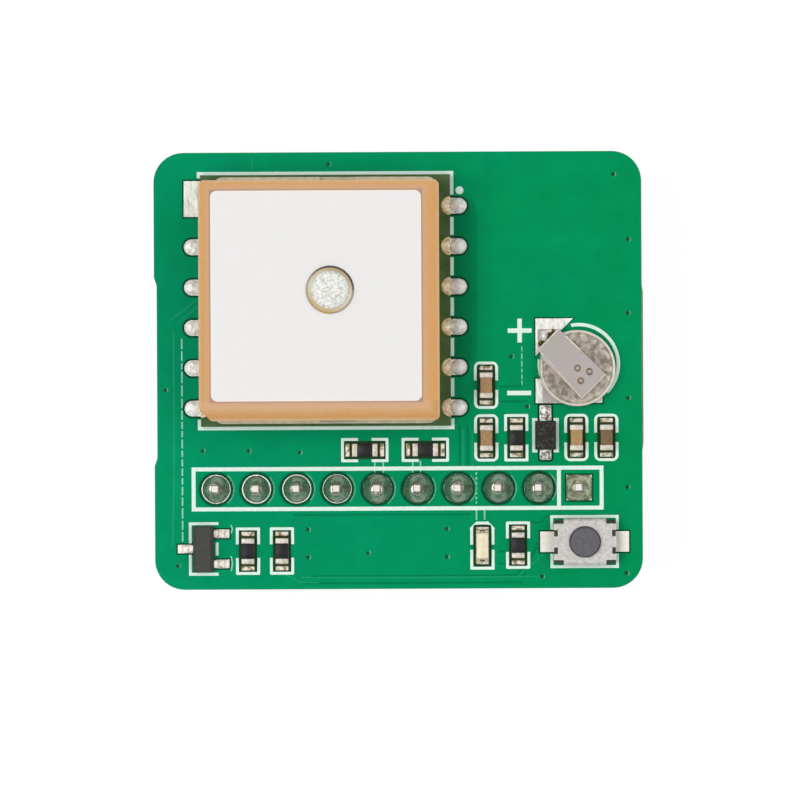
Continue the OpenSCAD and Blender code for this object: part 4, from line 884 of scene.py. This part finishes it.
CELL = (11.33, 7.53)
DISH_R = 1.2
CAN_R = 2.4
DENT = 0.34
steel = grained("rolled_stainless_strip", "#a49fa0", "#bab4ac", 0.9, 0.6, bump=0.15, metallic=0.85,
                stretch=(1, 2, 1), turn=45, low=0.3, high=0.7)
can_steel, tree = blank("drawn_stainless")
place = add(tree, "TexCoord").outputs["Object"]
flat_place = add(tree, "VectorMath", {0: place, 1: (1, 1, 0)}, operation="MULTIPLY")
from_axis = add(tree, "VectorMath", {0: flat_place.outputs[0], 1: (CELL[0] * MM, CELL[1] * MM, 0)},
                operation="SUBTRACT")
reach = add(tree, "VectorMath", {0: from_axis.outputs[0]}, operation="LENGTH")
ring = add(tree, "MapRange", {"Value": reach.outputs["Value"], "From Min": DISH_R * MM,
                              "From Max": CAN_R * MM})
tone = add(tree, "ValToRGB", {0: ring.outputs[0]})
# The bright rings at 0.74 and from 0.9 outwards are painted highlights on the shoulder.
stops(tone.color_ramp, [(0.0, "#a59a8c"), (0.5, "#aaa093"), (0.66, "#b8aea0"), (0.74, "#ddd5c6"),
                        (0.8, "#a1978a"), (0.86, "#b9af9f"), (0.9, "#f7f1e4")])
dents = add(tree, "TexNoise", {"Vector": place, "Scale": 1 / (DENT * MM), "Detail": 4, "Roughness": 0.6})
shade = add(tree, "ValToRGB", {0: dents.outputs["Fac"]})
stops(shade.color_ramp, [(0.4, 0.34), (0.6, 1.0)])
# The blotches darken the top inside the rim and fade out towards the rim.
blotch_fade = add(tree, "MapRange", {"Value": ring.outputs[0], "From Min": 0.84, "From Max": 0.9, "To Min": 0.85,
                              "To Max": 0.15})
blotched = add(tree, "MixRGB", {"Fac": blotch_fade.outputs[0], "Color1": tone.outputs[0],
                               "Color2": shade.outputs[0]}, blend_type="MULTIPLY")
bump = add(tree, "Bump", {"Height": dents.outputs["Fac"], "Strength": 0.3, "Distance": 0.06 * MM})
skin = add(tree, "BsdfPrincipled", {"Base Color": blotched.outputs[0], "Metallic": 0.5, "Roughness": 0.5,
                                    "Normal": bump.outputs[0]})
add(tree, "OutputMaterial", {"Surface": skin.outputs[0]})
dressed("cell_case", "cell_can", "stainless_steel", 0.02, can_steel)
coated("cell_cap", can_steel)
rubber = grained("sealing_rubber", "#161616", "#232323", 0.3, 0.7, bump=0.2)
coated("cell_gasket", rubber)
top_tab = dressed("cell_top_tab", "cell_plus_tab", "stainless_steel", 0.025, steel)
dressed("cell_bottom_tab", "cell_minus_tab", "stainless_steel", 0.025, steel)
TAB_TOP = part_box("cell_top_tab")[1].z / MM
WELDS = [(11.33, 7.52), (12.08, 7.31), (11.54, 6.73)]
WELD = [(0.23, -0.01), (0.22, 0.004), (0.17, 0.012), (0.12, 0.006), (0.11, -0.01)]
weld = turned("weld", WELD, 24, ring=True)
welds = joined("spot_welds", [copied(weld, (x, y, TAB_TOP)) for x, y in WELDS], weld)
tempered = grained("heat_tinted_steel", "#6d5844", "#94806c", 0.15, 0.5, bump=0.3, metallic=0.7)
finished(welds, tempered, ROUNDED, "stainless_steel")
# Pale lines on low ridges along the top tab's edges are painted highlights.
tab_highlight = grained("painted_tab_edge_highlight", "#cfc6ae", "#efe8d6", 0.2, 0.5, bump=0.2, metallic=0.4)
SKIN = 0.005
top_points = [point.co.xy / MM for point in top_tab.data.vertices if point.co.z > (TAB_TOP - SKIN) * MM]
left = min(top_points, key=lambda p: p.x)
back = max(top_points, key=lambda p: p.y)
right = max(top_points, key=lambda p: p.x)
near = min(top_points, key=lambda p: p.y)
HIGHLIGHT_PART = (0.55, 0.85)
highlight_lines = [[back, left, near, right], [right.lerp(back, part) for part in HIGHLIGHT_PART]]
ridges("tab_edge_highlights", highlight_lines, 0.09, 0.016, tab_highlight, "stainless_steel", TAB_TOP)
# A dark olive strip along the fold, on the foot, is painted shade under the bend.
fold_shade = grained("painted_fold_shade", "#453f20", "#5e562f", 0.2, 0.35, bump=0.3)
FOLD_PART = (0.12, 0.88)
SHADE_AWAY = 0.15
FOOT_TOP = PAD_TOP + 0.13
away = (left - near).normalized() * SHADE_AWAY
fold = [left.lerp(back, part) + away for part in FOLD_PART]
ridges("fold_shade_strip", [fold], 0.28, 0.1, fold_shade, "solder", FOOT_TOP)
BLOBS = [
    ((9.27, 9.56, PAD_TOP), (0.29, 0.4, 0.34)),
    ((9.62, 9.86, PAD_TOP), (0.34, 0.13, 0.2)),
    ((9.1, 9.1, PAD_TOP), (0.1, 0.2, 0.18)),
]
# The same near-white solder, its brightness a painted reflection.
blob = joined("tab_solder", [copied(pebble, spot, size) for spot, size in BLOBS])
rippled(blob, 0.05)
finished(blob, painted_bright_solder, ROUNDED, "solder")

# Push button: a moulded base under a pressed tinned cover, with a nylon plunger through it.
# The cover is satin and speckled; the silver plated terminals are creamy white.
# Under the plunger a thin steel dome gives the click, and in the real button it flattens when the plunger
# goes down; here it only gets a mesh of its own.
# Dark olive rather than black: partly the moulding's own dark colour, partly painted shade of the green
# board round the cover's corners.
olive_nylon = grained("dark_moulding_and_painted_shade", "#26301f", "#34402c", 0.3, 0.5, bump=0.15, specular=0.3)
dressed("button_base", "button_moulding", "header_nylon", 0.03, olive_nylon)
cover_tin = grained("pressed_tinplate", "#b5b2ae", "#dbd8d4", 0.22, 0.6, bump=0.25, metallic=0.6)
dressed("button_cover", "button_cover_plate", "tinned_steel", 0.03, cover_tin)
plate = grained("silver_plating", "#f9f1e0", "#fffdf6", 0.4, 0.55, bump=0.1)
dressed("button_terminals", "button_strips", "silver_plating", 0.03, plate)
dome = dressed("button_dome", "snap_dome", "stainless_steel", 0, can_steel)
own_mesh(dome)
plunger_nylon = grained("grey_nylon", "#59585c", "#66656a", 0.25, 0.55, bump=0.25, specular=0.3)
dressed("button_plunger", "button_stem", "plunger_nylon", 0.02, plunger_nylon, body="plunger")

# Indicator lamp: a white strip with gold ends and a cast block of cloudy cream resin over the die.
# The resin is smooth and warm, and the die shows through it as a small dark spot.
substrate = grained("white_laminate", "#dcd8c8", "#eeeade", 0.3, 0.6, bump=0.1)
dressed("lamp_base", "lamp_strip", "white_substrate", 0.015, substrate)
dull_gold = grained("dull_gold_end", "#8f8470", "#cfc5ae", 0.2, 0.5, bump=0.3, metallic=0.5)
dressed("lamp_terminals", "lamp_ends", "gold_plating", 0.015, dull_gold)
lamp_middle, lamp_size = middle("lamp_base")
DROP = (0.2, 0.2, 0.3)
# The same near-white solder, its brightness a painted reflection.
drops = [copied(pebble, (lamp_middle.x, lamp_middle.y + end * lamp_size.y / 2, PAD_TOP), DROP)
         for end in (1, -1)]
drops = joined("lamp_solder", drops, pebble)
rippled(drops, 0.03)
finished(drops, painted_bright_solder, ROUNDED, "solder")
die = grained("lamp_crystal", "#5d6130", "#7b7f4a", 0.1, 0.3, bump=0.1)
coated("lamp_die", die)
resin = grained("cloudy_resin", "#eadeb8", "#f7edd2", 0.35, 0.35, bump=0.1)
dressed("lamp_lens", "lamp_resin_block", "lamp_resin", 0.05, resin, steps=3)

# Diode and transistor: transfer-moulded black epoxy bodies with bent, tinned leads.
# The mould leaves a matt texture too fine to show, so it is drawn coarser.
# The diode is specked with grey, the transistor's top is worn to grey, and the tin is coarse and bright.
grey_epoxy = grained("worn_epoxy", "#40403e", "#4b4b48", 0.2, 0.65, bump=0.3, specular=0.25)
specked = grained("specked_epoxy", "#1f201d", "#565651", 0.16, 0.6, bump=0.35, specular=0.2, low=0.48,
                  high=0.72)
lead_tin = grained("tinned_lead", "#a08f7c", "#f2eae0", 0.3, 0.5, bump=0.3, metallic=0.45, low=0.3,
                   high=0.5)
dressed("diode_body", "diode_moulding", "moulded_epoxy", 0.04, specked)
dressed("transistor_body", "transistor_moulding", "moulded_epoxy", 0.03, grey_epoxy)
crystals = grained("coarse_tin", "#5f5b55", "#efece6", 0.24, 0.45, bump=0.5, metallic=0.45, low=0.4,
                   high=0.58)
dressed("diode_leads", "diode_lead_pair", "tinned_copper", 0.02, crystals)
dressed("transistor_leads", "transistor_lead_set", "tinned_copper", 0.02, lead_tin)

# Chip resistors and capacitors: alumina strips with a black glaze, and sintered brown blocks.
# Both have tinned wrap-round ends, rounded by tumbling, and the blocks differ in their brown.
glaze = grained("black_resistor_glaze", "#121111", "#1e1c1c", 0.2, 0.4, bump=0.15, specular=0.25)
alumina = grained("white_alumina", "#dcd8d0", "#eae7e0", 0.2, 0.6, bump=0.1)
end_tin = grained("plated_chip_end", "#b0aa9e", "#ded8cb", 0.2, 0.5, bump=0.3, metallic=0.7)
brown = grained("brown_sintered_ceramic", "#98764f", "#b08d66", 0.2, 0.55, bump=0.2, specular=0.3)
tan = grained("tan_sintered_ceramic", "#a58050", "#b79565", 0.2, 0.55, bump=0.2, specular=0.3)
umber = grained("dark_sintered_ceramic", "#6f5838", "#84694a", 0.2, 0.55, bump=0.2, specular=0.3)
BLOCK_TONES = {1: brown, 2: brown, 3: tan, 4: umber}
GLAZE_T = 0.05
for i in RESISTORS:
    strip = dressed(f"resistor_body_{i}", f"resistor_strip_{i}", "resistor_glaze", 0.015, glaze, alumina)
    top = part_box(f"resistor_body_{i}")[1].z
    for face in strip.data.polygons:
        face.material_index = 0 if face.center.z > top - GLAZE_T * MM else 1
    dressed(f"resistor_caps_{i}", f"resistor_ends_{i}", "tinned_copper", 0.02, end_tin)
for i in CAPACITORS:
    dressed(f"capacitor_body_{i}", f"capacitor_block_{i}", "capacitor_ceramic", 0.05, BLOCK_TONES[i])
    dressed(f"capacitor_caps_{i}", f"capacitor_ends_{i}", "tinned_copper", 0.02, end_tin)

# Chip solder: small fillets of reflowed solder at the ends of the chips and the lamp and at the leads.
# They are bright and stained with flux; along their sides and close under the chips' ends they are painted
# dark olive, as painted shade and a painted reflection of the green board.
fillet_solder = grained("flux_stained_solder", "#877a4c", "#f6efde", 0.36, 0.5, bump=0.3, metallic=0.25,
                        low=0.4, high=0.54)
shaded_solder = grained("solder_painted_shade", "#2c3316", "#454a26", 0.2, 0.5, bump=0.3, specular=0.3)
FILLETS = [fillet_solder, shaded_solder, crystals, lead_tin]
chip_fillets = dressed("chip_solder", "chip_fillets", "solder", 0.03, *FILLETS)
NARROWER = 0.83
SHADED = 0.17
STEEP = 0.6
ENDS = [f"resistor_caps_{i}" for i in RESISTORS] + [f"capacitor_caps_{i}" for i in CAPACITORS]
SOLDERED = {node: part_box(node) for node in ENDS + ["lamp_terminals", "diode_leads", "transistor_leads"]}


def outside(node, place):
    """How far a place lies outside the box of a soldered CAD node, seen from above, in metres."""
    low, high = SOLDERED[node]
    return math.hypot(*[max(low[i] - place[i], place[i] - high[i], 0) for i in (0, 1)])


def soldered_at(place):
    """The soldered CAD node nearest to a place, and the axis across it, 0 for x or 1 for y."""
    node = min(SOLDERED, key=lambda n: outside(n, place))
    low, high = SOLDERED[node]
    return node, 0 if high.y - low.y > high.x - low.x else 1


for point in chip_fillets.data.vertices:
    node, across = soldered_at(point.co)
    if node in ENDS:
        axis = (SOLDERED[node][0][across] + SOLDERED[node][1][across]) / 2
        point.co[across] = axis + (point.co[across] - axis) * NARROWER
for face in chip_fillets.data.polygons:
    node, across = soldered_at(face.center)
    under_end = node in ENDS and outside(node, face.center) < SHADED * MM
    if node == "diode_leads":
        face.material_index = FILLETS.index(crystals)
    elif node == "transistor_leads":
        face.material_index = FILLETS.index(lead_tin)
    # Steep sides and the parts close under a chip's end get the painted shade.
    elif abs(face.normal[across]) > STEEP or under_end:
        face.material_index = FILLETS.index(shaded_solder)
